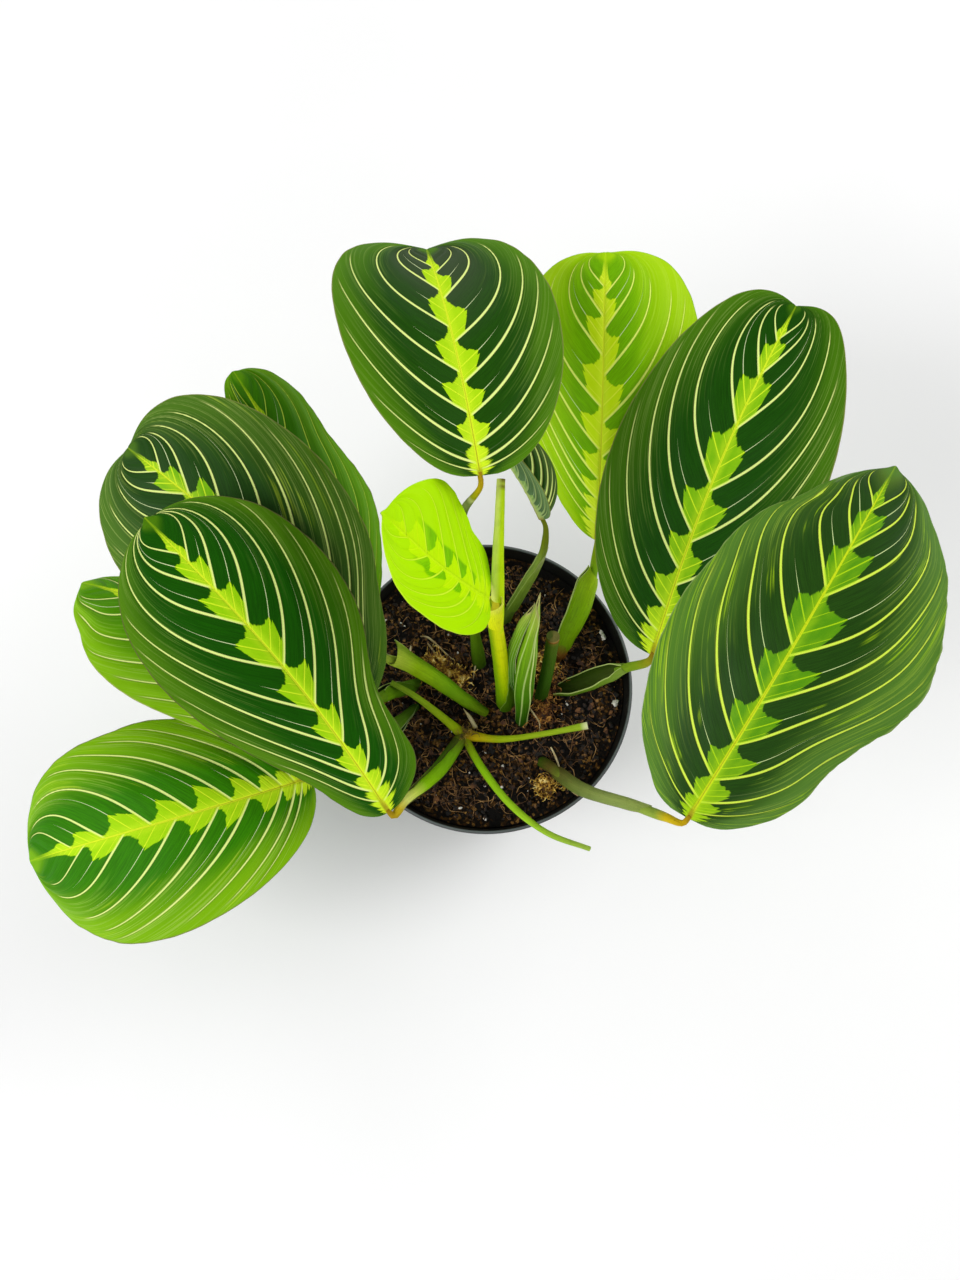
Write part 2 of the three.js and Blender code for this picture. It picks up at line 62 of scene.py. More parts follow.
POT_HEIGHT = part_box("pot")[1].z / MM
RIM_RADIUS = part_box("pot")[1].x / MM
FOOT_RADIUS = 44
WALL = 0.9
LIP_HEIGHT, LIP_OUT = 7, 0.6
FLOOR_TOP, RECESS, DISC_RADIUS, FOOT_RING_INNER = 3.5, 1.5, 13, 38
DRAINS, DRAIN_RADIUS, DRAIN_CIRCLE = 8, 3.5, 26
SOIL_TOP, SOIL_GAP = 92, 0.4
LUMPS = [(1.0, 0.13, 0.0, 1.0), (0.7, 0.05, 0.19, -0.4), (0.45, 0.29, 0.21, 0.0), (0.3, -0.17, 0.37, 1.6)]

VEINS = 9  # side veins on each half of a blade
VEIN_CROWDING, VEIN_MIDDLE = 0.7, 6
VEIN_RUN, VEIN_EARLY = 2.65, (0.45, 1.05)  # how far a side vein runs on towards the tip
TURN_LEAST, TURN_MORE, TURN_SHARP = 0.5, 0.34, 6  # where and how sharply it turns back to the tip
QUILT = 0.3  # height of the swell between two side veins
VEIN_GROOVE, RIB_GROOVE = 0.12, 0.4  # depth of the veins and the midrib in the upper face
KEEL, KEEL_TAPER = 1.0, 0.7  # midrib standing out below the blade
BLADE, BLADE_THINNING = 0.55, 0.2
BLADE_ROWS, BLADE_COLUMNS = 230, 80
FOOT_CROWDING, TIP_CROWDING = 4.2, 3.4  # how closely a blade's rows lie at its foot and tip
NEXT_LINE = 0.004  # step along the midrib over which the veins' spacing is measured
EDGE_WAVE, CRUMPLE_WAVE, NIBBLE_WAVE = 26, 19, 16  # lengths of the waves along a margin
CAD_BLADE = 1.1  # thickness of the frame's blade, which its stalk is seated under
JOINT_LENGTH, JOINT_TURN = 3, 0.25
PATH_STEPS = 200  # points that a stalk's curve is worked out at
ROOM_AT_WALL, BIT_ROOM_AT_WALL = 3, 3.5  # what lies on the soil keeps this far from the pot's wall

# ---------------------------------------------------------------- camera, light and floor

FOCAL_PIXELS, FRAME_WIDTH, FRAME_HEIGHT = 1262, 960, 1280
RIM_PIXEL = (485.5, 685.5)  # where the middle of the rim stands in the picture
RIM_DISTANCE = 515
ELEVATION = math.radians(78)
SENSOR = 36


def set_camera():
    forward = Vector((0, math.cos(ELEVATION), -math.sin(ELEVATION)))
    up = Vector((0, math.sin(ELEVATION), math.cos(ELEVATION)))
    right = Vector((1, 0, 0))
    off_x, off_y = RIM_PIXEL[0] - FRAME_WIDTH / 2, RIM_PIXEL[1] - FRAME_HEIGHT / 2
    ray = (forward * FOCAL_PIXELS + right * off_x - up * off_y).normalized()
    data = bpy.data.cameras.new("camera")
    data.sensor_width = SENSOR
    data.lens = SENSOR * FOCAL_PIXELS / FRAME_HEIGHT
    data.clip_start, data.clip_end = 0.01, 20
    camera = bpy.data.objects.new("camera", data)
    camera.location = (Vector((0, 0, POT_HEIGHT)) - ray * RIM_DISTANCE) * MM
    camera.rotation_euler = forward.to_track_quat("-Z", "Y").to_euler()
    bpy.context.scene.collection.objects.link(camera)
    bpy.context.scene.camera = camera


def softbox(name, place, power):
    data = bpy.data.lights.new(name, "AREA")
    data.shape, data.size, data.energy = "DISK", 1.0, power
    light = bpy.data.objects.new(name, data)
    light.location = place
    light.rotation_euler = (-Vector(place)).to_track_quat("-Z", "Y").to_euler()
    bpy.context.scene.collection.objects.link(light)


def set_studio():
    scene = bpy.context.scene
    scene.view_settings.view_transform = "Standard"
    world = bpy.data.worlds.new("studio")
    scene.world = world
    world.use_nodes = True
    n = Nodes(world.node_tree)
    _, _, height = n.split(n.put("TexCoord"))
    sky = n.smooth(height, 0.25, 0.9, 1.0, 0.45)  # paler towards the sides
    n.tree.links.new(n.put("CombineColor", (sky, sky, sky)), n.tree.nodes["Background"].inputs["Color"])
    n.tree.nodes["Background"].inputs["Strength"].default_value = 1.0
    softbox("softbox_left", (-1.2, -0.5, 1.3), 16)
    softbox("softbox_right", (1.3, 0.8, 1.1), 12)
    floor_mesh = bmesh.new()
    bmesh.ops.create_grid(floor_mesh, x_segments=1, y_segments=1, size=6)
    data = bpy.data.meshes.new("floor")
    floor_mesh.to_mesh(data)
    floor_mesh.free()
    data.materials.append(floor_finish())
    floor = bpy.data.objects.new("floor", data)
    scene.collection.objects.link(floor)


# ---------------------------------------------------------------- shader building

def tone(red, green, blue):
    """A colour given as it looks on a screen, 0 to 255, as the linear colour that a shader takes."""
    linear = [c / 12.92 if c <= 0.04045 else ((c + 0.055) / 1.055) ** 2.4
              for c in (red / 255, green / 255, blue / 255)]
    return (*linear, 1)


class Nodes:
    """Adds nodes to one tree. Each call returns the socket that carries its result."""

    def __init__(self, tree):
        self.tree = tree

    def put(self, kind, values=(), output=0, **settings):
        made = self.tree.nodes.new("ShaderNode" + kind)
        for name, setting in settings.items():
            setattr(made, name, setting)
        pairs = values.items() if isinstance(values, dict) else enumerate(values)
        for key, value in pairs:
            if isinstance(value, bpy.types.NodeSocket):
                self.tree.links.new(value, made.inputs[key])
            else:
                made.inputs[key].default_value = value
        return made.outputs[output]

    def split(self, vector):
        """The three parts of a vector."""
        made = self.tree.nodes.new("ShaderNodeSeparateXYZ")
        self.tree.links.new(vector, made.inputs[0])
        return made.outputs

    def math(self, operation, *values, clamp=False):
        return self.put("Math", values, operation=operation, use_clamp=clamp)

    def plus(self, first, second, clamp=False):
        return self.math("ADD", first, second, clamp=clamp)

    def minus(self, first, second):
        return self.math("SUBTRACT", first, second)

    def times(self, product, *factors, clamp=False):
        for factor in factors:
            product = self.math("MULTIPLY", product, factor, clamp=clamp)
        return product

    def scaled(self, value, factor, added):
        """value times factor, plus what is added."""
        return self.math("MULTIPLY_ADD", value, factor, added)

    def smooth(self, value, low, high, start=0.0, end=1.0):
        return self.put("MapRange", (value, low, high, start, end), interpolation_type="SMOOTHSTEP")

    def mix(self, share, first, second, blend="MIX"):
        return self.put("Mix", {0: share, 6: first, 7: second}, 2, data_type="RGBA", blend_type=blend)

    def blend(self, share, first, second):
        return self.put("Mix", {0: share, 2: first, 3: second}, 0, data_type="FLOAT")

    def noise(self, vector, scale, detail=3.0, rough=0.55):
        values = {"Vector": vector, "Scale": scale, "Detail": detail, "Roughness": rough}
        return self.put("TexNoise", values, "Fac")

    def combine(self, x, y, z=0.0):
        return self.put("CombineXYZ", (x, y, z))

    def ramp(self, value, stops):
        """stops is [(place, number or colour)]."""
        made = self.tree.nodes.new("ShaderNodeValToRGB")
        self.tree.links.new(value, made.inputs[0])
        elements = made.color_ramp.elements
        while len(elements) < len(stops):
            elements.new(0.5)
        for element, (place, colour) in zip(elements, stops):
            element.position = place
            element.color = colour if isinstance(colour, tuple) else (colour, colour, colour, 1)
        return made.outputs[0]


def group(name, inputs, outputs):
    """A new node group with float and colour sockets, and the nodes of its two ends."""
    tree = bpy.data.node_groups.new(name, "ShaderNodeTree")
    kinds = {float: "NodeSocketFloat", tuple: "NodeSocketColor"}
    for label, default in inputs.items():
        socket = tree.interface.new_socket(label, in_out="INPUT", socket_type=kinds[type(default)])
        socket.default_value = default
    for label, kind in outputs.items():
        tree.interface.new_socket(label, in_out="OUTPUT", socket_type=kinds[kind])
    given = tree.nodes.new("NodeGroupInput").outputs
    taken = tree.nodes.new("NodeGroupOutput").inputs
    return Nodes(tree), given, taken


def material(name):
    """A material with one Principled shader: the node helper and the shader."""
    made = bpy.data.materials.new(name)
    made.use_nodes = True
    shader = made.node_tree.nodes["Principled BSDF"]
    return made, Nodes(made.node_tree), shader


def use_group(nodes, tree, values):
    placed = nodes.tree.nodes.new("ShaderNodeGroup")
    placed.node_tree = tree
    for key, value in values.items():
        if isinstance(value, bpy.types.NodeSocket):
            nodes.tree.links.new(value, placed.inputs[key])
        else:
            placed.inputs[key].default_value = value
    return placed.outputs


def dress(nodes, shader, colour, roughness=None, height=None, relief=0.3):
    """Wires colour, roughness and height into a shader; relief is the height's full size in mm."""
    for key, socket in (("Base Color", colour), ("Roughness", roughness)):
        if socket is not None:
            nodes.tree.links.new(socket, shader.inputs[key])
    if height is not None:
        values = {"Strength": 1.0, "Distance": relief * MM, "Height": height}
        nodes.tree.links.new(nodes.put("Bump", values), shader.inputs["Normal"])


# ---------------------------------------------------------------- markings of the leaves

def leaf_places(n, given):
    """Where a point lies on its leaf, which all the markings are drawn from."""
    at = SimpleNamespace()
    at.v, at.w, _ = n.split(n.put("UVMap", uv_map="veins"))
    from_rib, at.spacing, _ = n.split(n.put("UVMap", uv_map="place"))
    at.across = n.math("ABSOLUTE", from_rib)
    at.reach = n.math("ABSOLUTE", at.w)
    at.side = n.math("SIGN", at.w)
    at.half = n.plus(at.side, given["Seed"])  # tells the two halves apart
    at.cell = n.math("FLOOR", at.v)
    at.share = n.math("FRACT", at.v)
    at.beyond = n.minus(at.v, given["Last vein"])
    at.past_last = n.smooth(at.beyond, 0.3, 2.4, 1.0, 0.15)
    at.run = n.math("DIVIDE", at.v, n.plus(given["Last vein"], 1.0), clamp=True)
    return at


def draw(n, at, count, salt):
    """A random number for each vein or cell of each half."""
    place = n.plus(n.scaled(at.half, 7.3, count), salt)
    return n.put("TexWhiteNoise", {"W": place}, noise_dimensions="1D")


def stroke(n, distance, size):
    """A soft line: distance and size, which is half its width, are in mm."""
    return n.smooth(distance, n.times(size, 0.55), n.scaled(size, 1.25, 0.02), 1.0, 0.0)


def side_veins(n, at, given):
    """The cream side veins, widest at the midrib and fading just inside the margin, a painted
    shade along both sides of them, and their thin rust line."""
    to_vein = n.times(n.math("PINGPONG", at.v, 0.5), at.spacing)
    from_last = n.minus(n.minus(given["Last vein"], at.v), given["Short veins"])
    stop = n.ramp(n.times(from_last, 0.25, clamp=True),
                  [(0, 0.5), (0.25, 0.64), (0.5, 0.82), (0.75, 0.91), (1, 0.93)])
    stop = n.scaled(draw(n, at, n.math("ROUND", at.v), 11.0), 0.05, stop)
    taper = n.smooth(at.reach, n.minus(stop, 0.6), stop, 1.0, 0.5)
    near_end = n.smooth(n.math("PINGPONG", at.run, 0.5), 0.05, 0.2, 0.6, 1.0)
    size = n.times(given["Vein size"], 0.5, taper, near_end)
    alive = n.times(n.smooth(at.reach, n.minus(stop, 0.06), stop, 1.0, 0.0), n.smooth(at.v, 0.5, 0.6),
                    n.smooth(at.beyond, 0.1, 0.4, 1.0, 0.0))
    vein = n.times(stroke(n, to_vein, size), alive)
    # A wider band along both sides of each vein, where shade is painted.
    vein_shade = n.times(stroke(n, to_vein, n.plus(size, 0.35)), alive)
    rust = n.times(stroke(n, to_vein, n.plus(size, 0.14)), n.math("GREATER_THAN", at.share, 0.5), alive)
    return vein, vein_shade, rust


def feather_marks(n, at, given):
    """The lime feather: one lobe to a cell, with a point where a thin vein starts and a notch after
    it. Also returns how far it reaches between the notches."""
    notched = n.ramp(at.share, [(0, 0.66), (0.12, 0.80), (0.29, 0.90), (0.37, 1.0), (0.43, 0.80),
                                (0.56, 0.54), (0.72, 0.31), (0.86, 0.18), (1, 0.14)])
    comb = n.ramp(at.share, [(0, 0.72), (0.5, 0.95), (0.72, 0.9), (0.86, 0.62), (0.96, 0.5), (1, 0.7)])
    lobe = n.blend(n.smooth(at.v, 1.8, 3.6, 0.85, 0.0), notched, comb)
    envelope = n.ramp(at.run, [(0.05, 2.1), (0.1, 1.65), (0.2, 1.3), (0.35, 1.1), (0.5, 1.0), (0.65, 0.85),
                               (0.78, 0.74), (0.87, 0.6), (0.93, 0.42), (1.0, 0.3)])
    luck = n.scaled(draw(n, at, at.cell, 23.0), 0.26, 0.87)
    wander = n.noise(n.combine(n.times(at.v, 3.0), at.half), 1.0, 2.0)
    teeth = n.math("FRACT", n.scaled(at.v, 4.0, n.times(wander, 1.6)))
    teeth = n.times(teeth, n.smooth(teeth, 1.0, 0.94))
    fine = n.noise(n.combine(n.times(at.v, 24.0), at.half), 1.0, 1.0)
    teeth = n.scaled(teeth, 0.17, n.scaled(fine, 0.06, 0.85))
    full = n.times(luck, envelope, given["Reach"], n.scaled(at.side, given["Lean"], 1.0))
    edge = n.times(lobe, teeth, full)
    edge = n.blend(n.smooth(at.beyond, -0.2, 0.7), edge, n.times(full, 0.55))
    grain = n.noise(n.combine(n.times(at.v, 60.0), n.times(at.w, 14.0), at.half), 1.0, 2.0)
    blur = n.scaled(n.smooth(at.v, 3.4, 0.8), n.times(given["Fuzz"], 0.09), 0.006)
    fuzzy = n.scaled(n.minus(grain, 0.5), n.times(blur, 2.4), at.reach)
    feather = n.smooth(fuzzy, n.minus(edge, blur), n.plus(edge, blur), 1.0, 0.0)
    return n.times(feather, at.past_last), full


def thin_veins(n, at, feather, full):
    """The thin veins that run on from the points of the feather's lobes, and the veinlets in it."""
    to_point = n.times(n.math("ABSOLUTE", n.minus(at.share, 0.37)), at.spacing)
    start = n.times(full, 0.96)
    length = n.scaled(draw(n, at, at.cell, 41.0), 0.5, 0.06)
    size = n.smooth(at.reach, n.minus(start, 0.04), n.plus(start, length), 0.15, 0.0)
    thin = n.times(stroke(n, to_point, size), n.math("GREATER_THAN", size, 0.004),
                   n.smooth(at.v, 2.2, 3.2), n.smooth(at.beyond, -0.2, 0.2, 1.0, 0.0),
                   n.smooth(feather, 0.9, 0.2))
    to_branch = n.times(n.math("PINGPONG", n.scaled(at.v, 4.0, 0.52), 0.5), n.times(at.spacing, 0.25))
    branch = n.times(stroke(n, to_branch, 0.14), 0.7)
    point = n.times(stroke(n, to_point, 0.24), 0.9)
    return thin, n.times(n.math("MAXIMUM", branch, point), feather)


def blade_tone(n, at, given, vein_shade, rust):
    """The green between the veins, with fine stripes along them and paler towards the margin. Also
    returns the stripes' lines and the soft clouds."""
    lines = n.noise(n.combine(n.times(at.v, 13.0), n.times(at.w, 1.8), at.half), 1.0, 3.0, 0.7)
    hair = n.noise(n.combine(n.times(at.v, 52.0), n.times(at.w, 6.0), at.half), 1.0, 2.0, 0.6)
    cloud = n.noise(n.combine(n.times(at.v, 0.9), n.times(at.w, 2.0), at.half), 1.0, 2.0)
    outward = n.scaled(n.minus(cloud, 0.5), 0.35, at.reach)
    deep = n.smooth(hair, 0.35, 0.65, 0.78, 1.12)
    core = n.mix(1.0, given["Core"], n.put("CombineColor", (deep, deep, deep)), "MULTIPLY")
    blade = n.mix(n.smooth(outward, given["Pale from"], given["Pale to"]), core, given["Outer"])
    stripes = n.times(n.smooth(lines, 0.50, 0.66), n.smooth(hair, 0.36, 0.6, 0.35, 1.0), given["Stripes"],
                      n.smooth(outward, 0.32, 0.66))
    blade = n.mix(stripes, blade, n.mix(0.3, given["Outer"], given["Vein"]))
    patch = n.noise(n.combine(n.times(at.v, 2.1), n.times(at.w, 3.6), at.half), 1.0, 1.0)
    patch = n.times(n.smooth(patch, 0.60, 0.68), n.smooth(lines, 0.46, 0.6), n.smooth(at.reach, 0.34, 0.46),
                    given["Patches"])
    blade = n.mix(patch, blade, given["Veinlet"])
    # The Apex tone laid over the tip zone, away from the margin: on the top leaf it is a painted purple-grey
    # sheen.
    apex = n.times(n.smooth(n.minus(at.v, given["Apex from"]), 0.0, 2.2),
                   n.smooth(outward, 0.5, 0.85, 1.0, 0.0), given["Apex share"])
    blade = n.mix(apex, blade, given["Apex"])
    blade = n.mix(n.smooth(at.beyond, 1.2, 3.0, 0.0, 0.85), blade, given["Outer"])
    # A darker copy of the blade, used for the painted shade along both sides of each side vein.
    dark = n.mix(1.0, blade, (0.55, 0.58, 0.5, 1), "MULTIPLY")
    ends = n.plus(n.smooth(at.v, 3.1, 2.1), n.smooth(at.beyond, -1.4, -0.6), clamp=True)
    blade = n.mix(n.times(ends, given["Ends"]), blade, given["Outer"])
    # Painted shade along the side veins; the Rust amount also sets how strong it is.
    blade = n.mix(n.times(vein_shade, n.times(given["Rust"], 1.7, clamp=True)), blade, dark)
    rust = n.times(rust, n.smooth(at.reach, 0.16, 0.34), given["Rust"])
    return n.mix(rust, blade, tone(112, 72, 30)), lines, cloud


def feather_tone(n, at, given, veinlet):
    """The lime of the feather, fresher at the foot and along the midrib."""
    mottle = n.noise(n.combine(n.times(at.v, 5.0), n.times(at.w, 9.0), at.half), 1.0, 3.0)
    fresh = n.plus(n.smooth(mottle, 0.35, 0.75, 0.0, 0.15), n.smooth(at.v, 5.0, 0.8, 0.0, 0.5))
    inner = n.smooth(at.across, 3.5, 0.5, 0.0, 0.3)
    lime = n.mix(n.plus(fresh, inner, clamp=True), given["Feather"], given["Veinlet"])
    return n.mix(veinlet, lime, given["Veinlet"])


def leaf_markings():
    """Lime feather, cream side veins, thin in-between veins and fine stripes, along the veins."""
    n, given, taken = group(
        "leaf markings",
        {
            "Core": (0.02, 0.08, 0.005, 1.0), "Outer": (0.1, 0.2, 0.01, 1.0),
            "Rim": (0.15, 0.2, 0.05, 1.0), "Feather": (0.4, 0.65, 0.01, 1.0),
            "Veinlet": (0.7, 0.9, 0.1, 1.0), "Vein": (0.75, 0.88, 0.35, 1.0),
            "Rib": (0.7, 0.8, 0.05, 1.0), "Apex": (0.05, 0.08, 0.03, 1.0),
            "Apex share": 0.0, "Apex from": 5.4, "Reach": 0.25, "Lean": 0.0, "Pale from": 0.36,
            "Pale to": 0.95, "Stripes": 0.5, "Patches": 0.0, "Vein size": 1.0, "Fuzz": 0.3, "Rust": 0.35,
            "Ends": 0.0, "Last vein": float(VEINS - 1), "Short veins": 0.0, "Seed": 0.0,
        },
        {"Color": tuple, "Roughness": float, "Height": float},
    )
    at = leaf_places(n, given)
    side_vein, vein_shade, rust = side_veins(n, at, given)
    feather, full = feather_marks(n, at, given)
    thin_vein, veinlet = thin_veins(n, at, feather, full)
    blade, lines, cloud = blade_tone(n, at, given, vein_shade, rust)
    colour = n.mix(feather, blade, feather_tone(n, at, given, veinlet))
    vein_colour = n.mix(n.smooth(at.reach, 0.7, 1.0, 0.0, 0.5), given["Vein"], given["Outer"])
    vein_colour = n.mix(feather, vein_colour, n.mix(0.35, given["Veinlet"], given["Vein"]))
    colour = n.mix(side_vein, colour, vein_colour)
    thin_share = n.times(thin_vein, n.smooth(given["Ends"], 0.0, 1.0, 0.8, 0.0))
    colour = n.mix(thin_share, colour, n.mix(0.5, given["Vein"], (0.8, 0.92, 0.68, 1)))

    # midrib with its thin rust line, and the rim
    rib = n.times(stroke(n, at.across, n.scaled(at.run, -0.75, 0.98)), at.past_last)
    colour = n.mix(rib, colour, given["Rib"])
    line = n.times(stroke(n, at.across, 0.16), n.smooth(at.run, 0.25, 0.9, 0.6, 0.0))
    foot = n.times(n.smooth(at.run, 0.0, 0.22, 0.7, 0.0), n.smooth(at.across, 0.4, 1.4, 1.0, 0.0))
    brown = n.times(n.math("MAXIMUM", line, foot), n.smooth(given["Rust"], 0.0, 0.1))
    colour = n.mix(brown, colour, tone(146, 112, 30))
    colour = n.mix(n.smooth(at.reach, 0.986, 0.998), colour, given["Rim"])

    gloss = n.scaled(feather, 0.05, n.scaled(cloud, 0.16, 0.4))
    height = n.scaled(side_vein, -0.4, n.times(lines, 0.3))
    height = n.scaled(n.math("MAXIMUM", thin_vein, veinlet), -0.25, height)
    height = n.scaled(rib, -0.4, height)
    for key, socket in (("Color", colour), ("Roughness", gloss), ("Height", height)):
        n.tree.links.new(socket, taken[key])
    return n.tree


# ---------------------------------------------------------------- markings of the stalks

def fibre_markings():
    """Long fine fibres and soft blotches on stalks and sheaths, over a tone along the stalk, with the side
    turned from the one faced painted in the Shade colour.
    """
    n, given, taken = group(
        "fibre markings",
        {"Tone": (0.2, 0.4, 0.05, 1.0), "Shade": (0.1, 0.2, 0.03, 1.0), "Shade share": 0.5,
         "Edge": (0.7, 0.75, 0.5, 1.0), "Edge share": 0.0, "Lines": 0.0, "Lines share": 0.0,
         "Fibres": 0.35, "Specks": 0.15, "Seed": 0.0},
        {"Color": tuple, "Roughness": float, "Height": float},
    )
    around, along, _ = n.split(n.put("UVMap", uv_map="run"))
    circle = n.times(around, 2 * math.pi)
    ring_x, ring_y = n.math("COSINE", circle), n.math("SINE", circle)
    stretched = n.combine(n.times(ring_x, 5.0), n.times(ring_y, 5.0), n.scaled(along, 2.5, given["Seed"]))
    fibre = n.noise(stretched,
                    2.2, 3.0, 0.7)
    place = n.put("TexCoord", output="Object")
    blotch = n.noise(place, 260.0, 3.0)
    speck = n.noise(place, 1500.0, 2.0)
    # Painted light and shade: the side turned from the one faced takes the Shade colour, darker on most
    # stalks and sheaths, paler on the upper centre stem.
    shade = n.times(n.smooth(ring_x, -0.5, 0.7), given["Shade share"])
    colour = n.mix(shade, given["Tone"], given["Shade"])
    lighter = n.mix(1.0, colour, (1.5, 1.45, 1.3, 1), "MULTIPLY")
    colour = n.mix(n.times(n.smooth(fibre, 0.5, 0.75), given["Fibres"]), colour, lighter)
    darker = n.mix(1.0, colour, (0.55, 0.6, 0.6, 1), "MULTIPLY")
    colour = n.mix(n.times(n.smooth(fibre, 0.5, 0.25), given["Fibres"]), colour, darker)
    colour = n.mix(n.times(n.smooth(blotch, 0.5, 0.7), 0.25), colour, darker)
    spots = n.times(n.smooth(speck, 0.64, 0.72), given["Specks"])
    colour = n.mix(spots, colour, tone(92, 60, 26))
    to_edge = n.math("ABSOLUTE", n.scaled(around, 2.0, -1.0))
    slant = n.times(to_edge, given["Lines"], 0.5)
    line = n.math("PINGPONG", n.minus(slant, n.times(along, 1.5)), 0.5)
    line = n.times(n.smooth(line, 0.05, 0.11, 1.0, 0.0), given["Lines share"])
    colour = n.mix(line, colour, given["Edge"])
    edge = n.times(n.smooth(to_edge, 0.955, 0.985), given["Edge share"])
    colour = n.mix(edge, colour, given["Edge"])
    for key, socket in (("Color", colour), ("Roughness", n.scaled(blotch, 0.25, 0.38)),
                        ("Height", n.scaled(speck, 0.15, fibre))):
        n.tree.links.new(socket, taken[key])
    return n.tree


LEAF_MARKINGS = leaf_markings()
FIBRE_MARKINGS = fibre_markings()


# ---------------------------------------------------------------- finishes

def floor_finish():
    made, n, shader = material("pale_floor")
    shade = n.noise(n.put("TexCoord", output="Object"), 3.0)
    dress(n, shader, n.mix(n.smooth(shade, 0.3, 0.7), (0.90, 0.90, 0.90, 1), (0.93, 0.93, 0.93, 1)))
    shader.inputs["Roughness"].default_value = 0.9
    shader.inputs["Specular IOR Level"].default_value = 0.1
    return made


def leaf_finish(name, values, gloss):
    made, n, shader = material(name)
    marks = use_group(n, LEAF_MARKINGS, values)
    dress(n, shader, marks["Color"], marks["Roughness"], marks["Height"], 0.35)
    shader.inputs["Specular IOR Level"].default_value = gloss
    return made


def stalk_finish(name, tones, **values):
    """tones is [(share of the stalk's length, colour)]."""
    made, n, shader = material(name)
    _, along, _ = n.split(n.put("UVMap", uv_map="run"))
    along_tone = n.ramp(along, [(place, tone(*colour)) for place, colour in tones])
    wanted = {key.replace("_", " ").capitalize(): value for key, value in values.items()}
    for key in ("Shade", "Edge"):
        if key in wanted:
            wanted[key] = tone(*wanted[key])
    marks = use_group(n, FIBRE_MARKINGS, {"Tone": along_tone, **wanted})
    dress(n, shader, marks["Color"], marks["Roughness"], marks["Height"], 0.25)
    shader.inputs["Specular IOR Level"].default_value = 0.06
    return made


def pot_finish():
    """Dark grey plastic: a painted highlight on the lip's top, painted shade near black on the inner wall
    above the soil, and dusty at the foot.
    """
    made, n, shader = material("pot_plastic")
    place = n.put("TexCoord", output="Object")
    x, y, z = n.split(place)
    dust = n.noise(place, 60.0, 5.0, 0.65)
    pores = n.noise(place, 1400.0, 2.0)
    # high marks the lip's top, where a paler painted highlight goes.
    high = n.smooth(z, (POT_HEIGHT - 0.5) * MM, (POT_HEIGHT - 0.1) * MM)
    from_axis = n.put("VectorMath", {0: n.combine(x, y)}, 1, operation="LENGTH")
    # inside marks the inner wall above the soil, which gets a near black painted shade.
    inside = n.times(n.smooth(from_axis, (RIM_RADIUS - 1.6) * MM, (RIM_RADIUS - 1.1) * MM, 1.0, 0.0),
                     n.smooth(z, (SOIL_TOP - 6) * MM, (SOIL_TOP - 4) * MM))
    colour = n.mix(n.smooth(dust, 0.45, 0.75), tone(40, 45, 44), tone(58, 62, 59))
    colour = n.mix(n.times(high, 0.55), colour, tone(96, 106, 102))
    colour = n.mix(inside, colour, tone(17, 17, 14))
    colour = n.mix(n.smooth(z, 0.0, 14 * MM, 0.3, 0.0), colour, tone(98, 88, 72))
    dress(n, shader, colour, n.scaled(dust, 0.25, 0.32), pores, 0.12)
    return made


def soil_finish():
    made, n, shader = material("potting_soil")
    place = n.put("TexCoord", output="Object")
    crumb = n.put("TexVoronoi", {"Vector": place, "Scale": 950.0}, "Color")
    broad = n.noise(place, 110.0, 4.0, 0.65)
    grit = n.noise(place, 2600.0, 4.0, 0.75)
    peat = n.ramp(n.noise(crumb, 1.4, 1.0), [(0.38, tone(9, 6, 3)), (0.52, tone(40, 24, 8)),
                                              (0.61, tone(98, 64, 20)), (0.7, tone(176, 130, 62))])
    colour = n.mix(n.smooth(broad, 0.42, 0.6), tone(9, 6, 3), peat)
    colour = n.mix(n.smooth(grit, 0.66, 0.72, 0.0, 0.55), colour, tone(150, 116, 74))
    dress(n, shader, colour, n.scaled(grit, 0.2, 0.78), n.scaled(broad, 0.6, grit), 0.9)
    shader.inputs["Specular IOR Level"].default_value = 0.2
    return made


def bit_finish(name, stops, scale, rough=0.85, relief=0.25):
    """A finish for small loose bits, whose tone changes from bit to bit."""
    made, n, shader = material(name)
    place = n.put("TexCoord", output="Object")
    broad = n.noise(place, scale, 2.0)
    grit = n.noise(place, 2200.0, 3.0)
    place = n.scaled(n.minus(grit, 0.5), 0.35, broad)
    colour = n.ramp(place, [(at, tone(*stop)) for at, stop in stops])
    dress(n, shader, colour, n.scaled(grit, 0.15, rough - 0.1), grit, relief)
    return made


# ---------------------------------------------------------------- meshes

def piece(bm, name, materials, replaced=(), sharp=None):
    """Ends a bmesh as an object that rides on the plant and what it stands for."""
    mesh = bpy.data.meshes.new(name)
    bm.to_mesh(mesh)
    bm.free()
    for finish in materials:
        mesh.materials.append(finish)
    mesh.shade_smooth()
    if sharp is not None:
        mesh.set_sharp_from_angle(angle=math.radians(sharp))
    made = bpy.data.objects.new(name, mesh)
    bpy.context.scene.collection.objects.link(made)
    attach(made, "root")
    if replaced:
        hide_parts(*replaced)
    return made


def unit(vectors):
    return vectors / np.linalg.norm(vectors, axis=-1, keepdims=True)


def dot(first, second):
    return (first * second).sum(axis=-1, keepdims=True)


def smoothstep(value, low, high):
    share = np.clip((value - low) / (high - low), 0, 1)
    return share * share * (3 - 2 * share)


def ridge(away, width):
    """1 on a line and falling off smoothly on both sides of it."""
    return np.exp(-((away / width) ** 2))


def ripple(x, seed):
    """A smooth wandering line, between about -1 and 1, over x counted in waves."""
    turn = 2 * math.pi * x
    return (np.sin(turn + 1.7 * seed) + 0.6 * np.sin(2.3 * turn + 2.9 * seed)
            + 0.4 * np.sin(4.1 * turn + 0.7 * seed)) / 2


# ---------------------------------------------------------------- blades

PLAIN_LEAF = dict(
    roll=0, twist=0, arch=0.1, curl=2.6, fold=0, dome=0.2, sweep=0, widest=0.55, base_full=1.9,
    tip_full=2.3, shoulder=0, lobe=0, dents=(), ripple=0.35, crinkle=0.0, apex=0.8, seed=1,
)

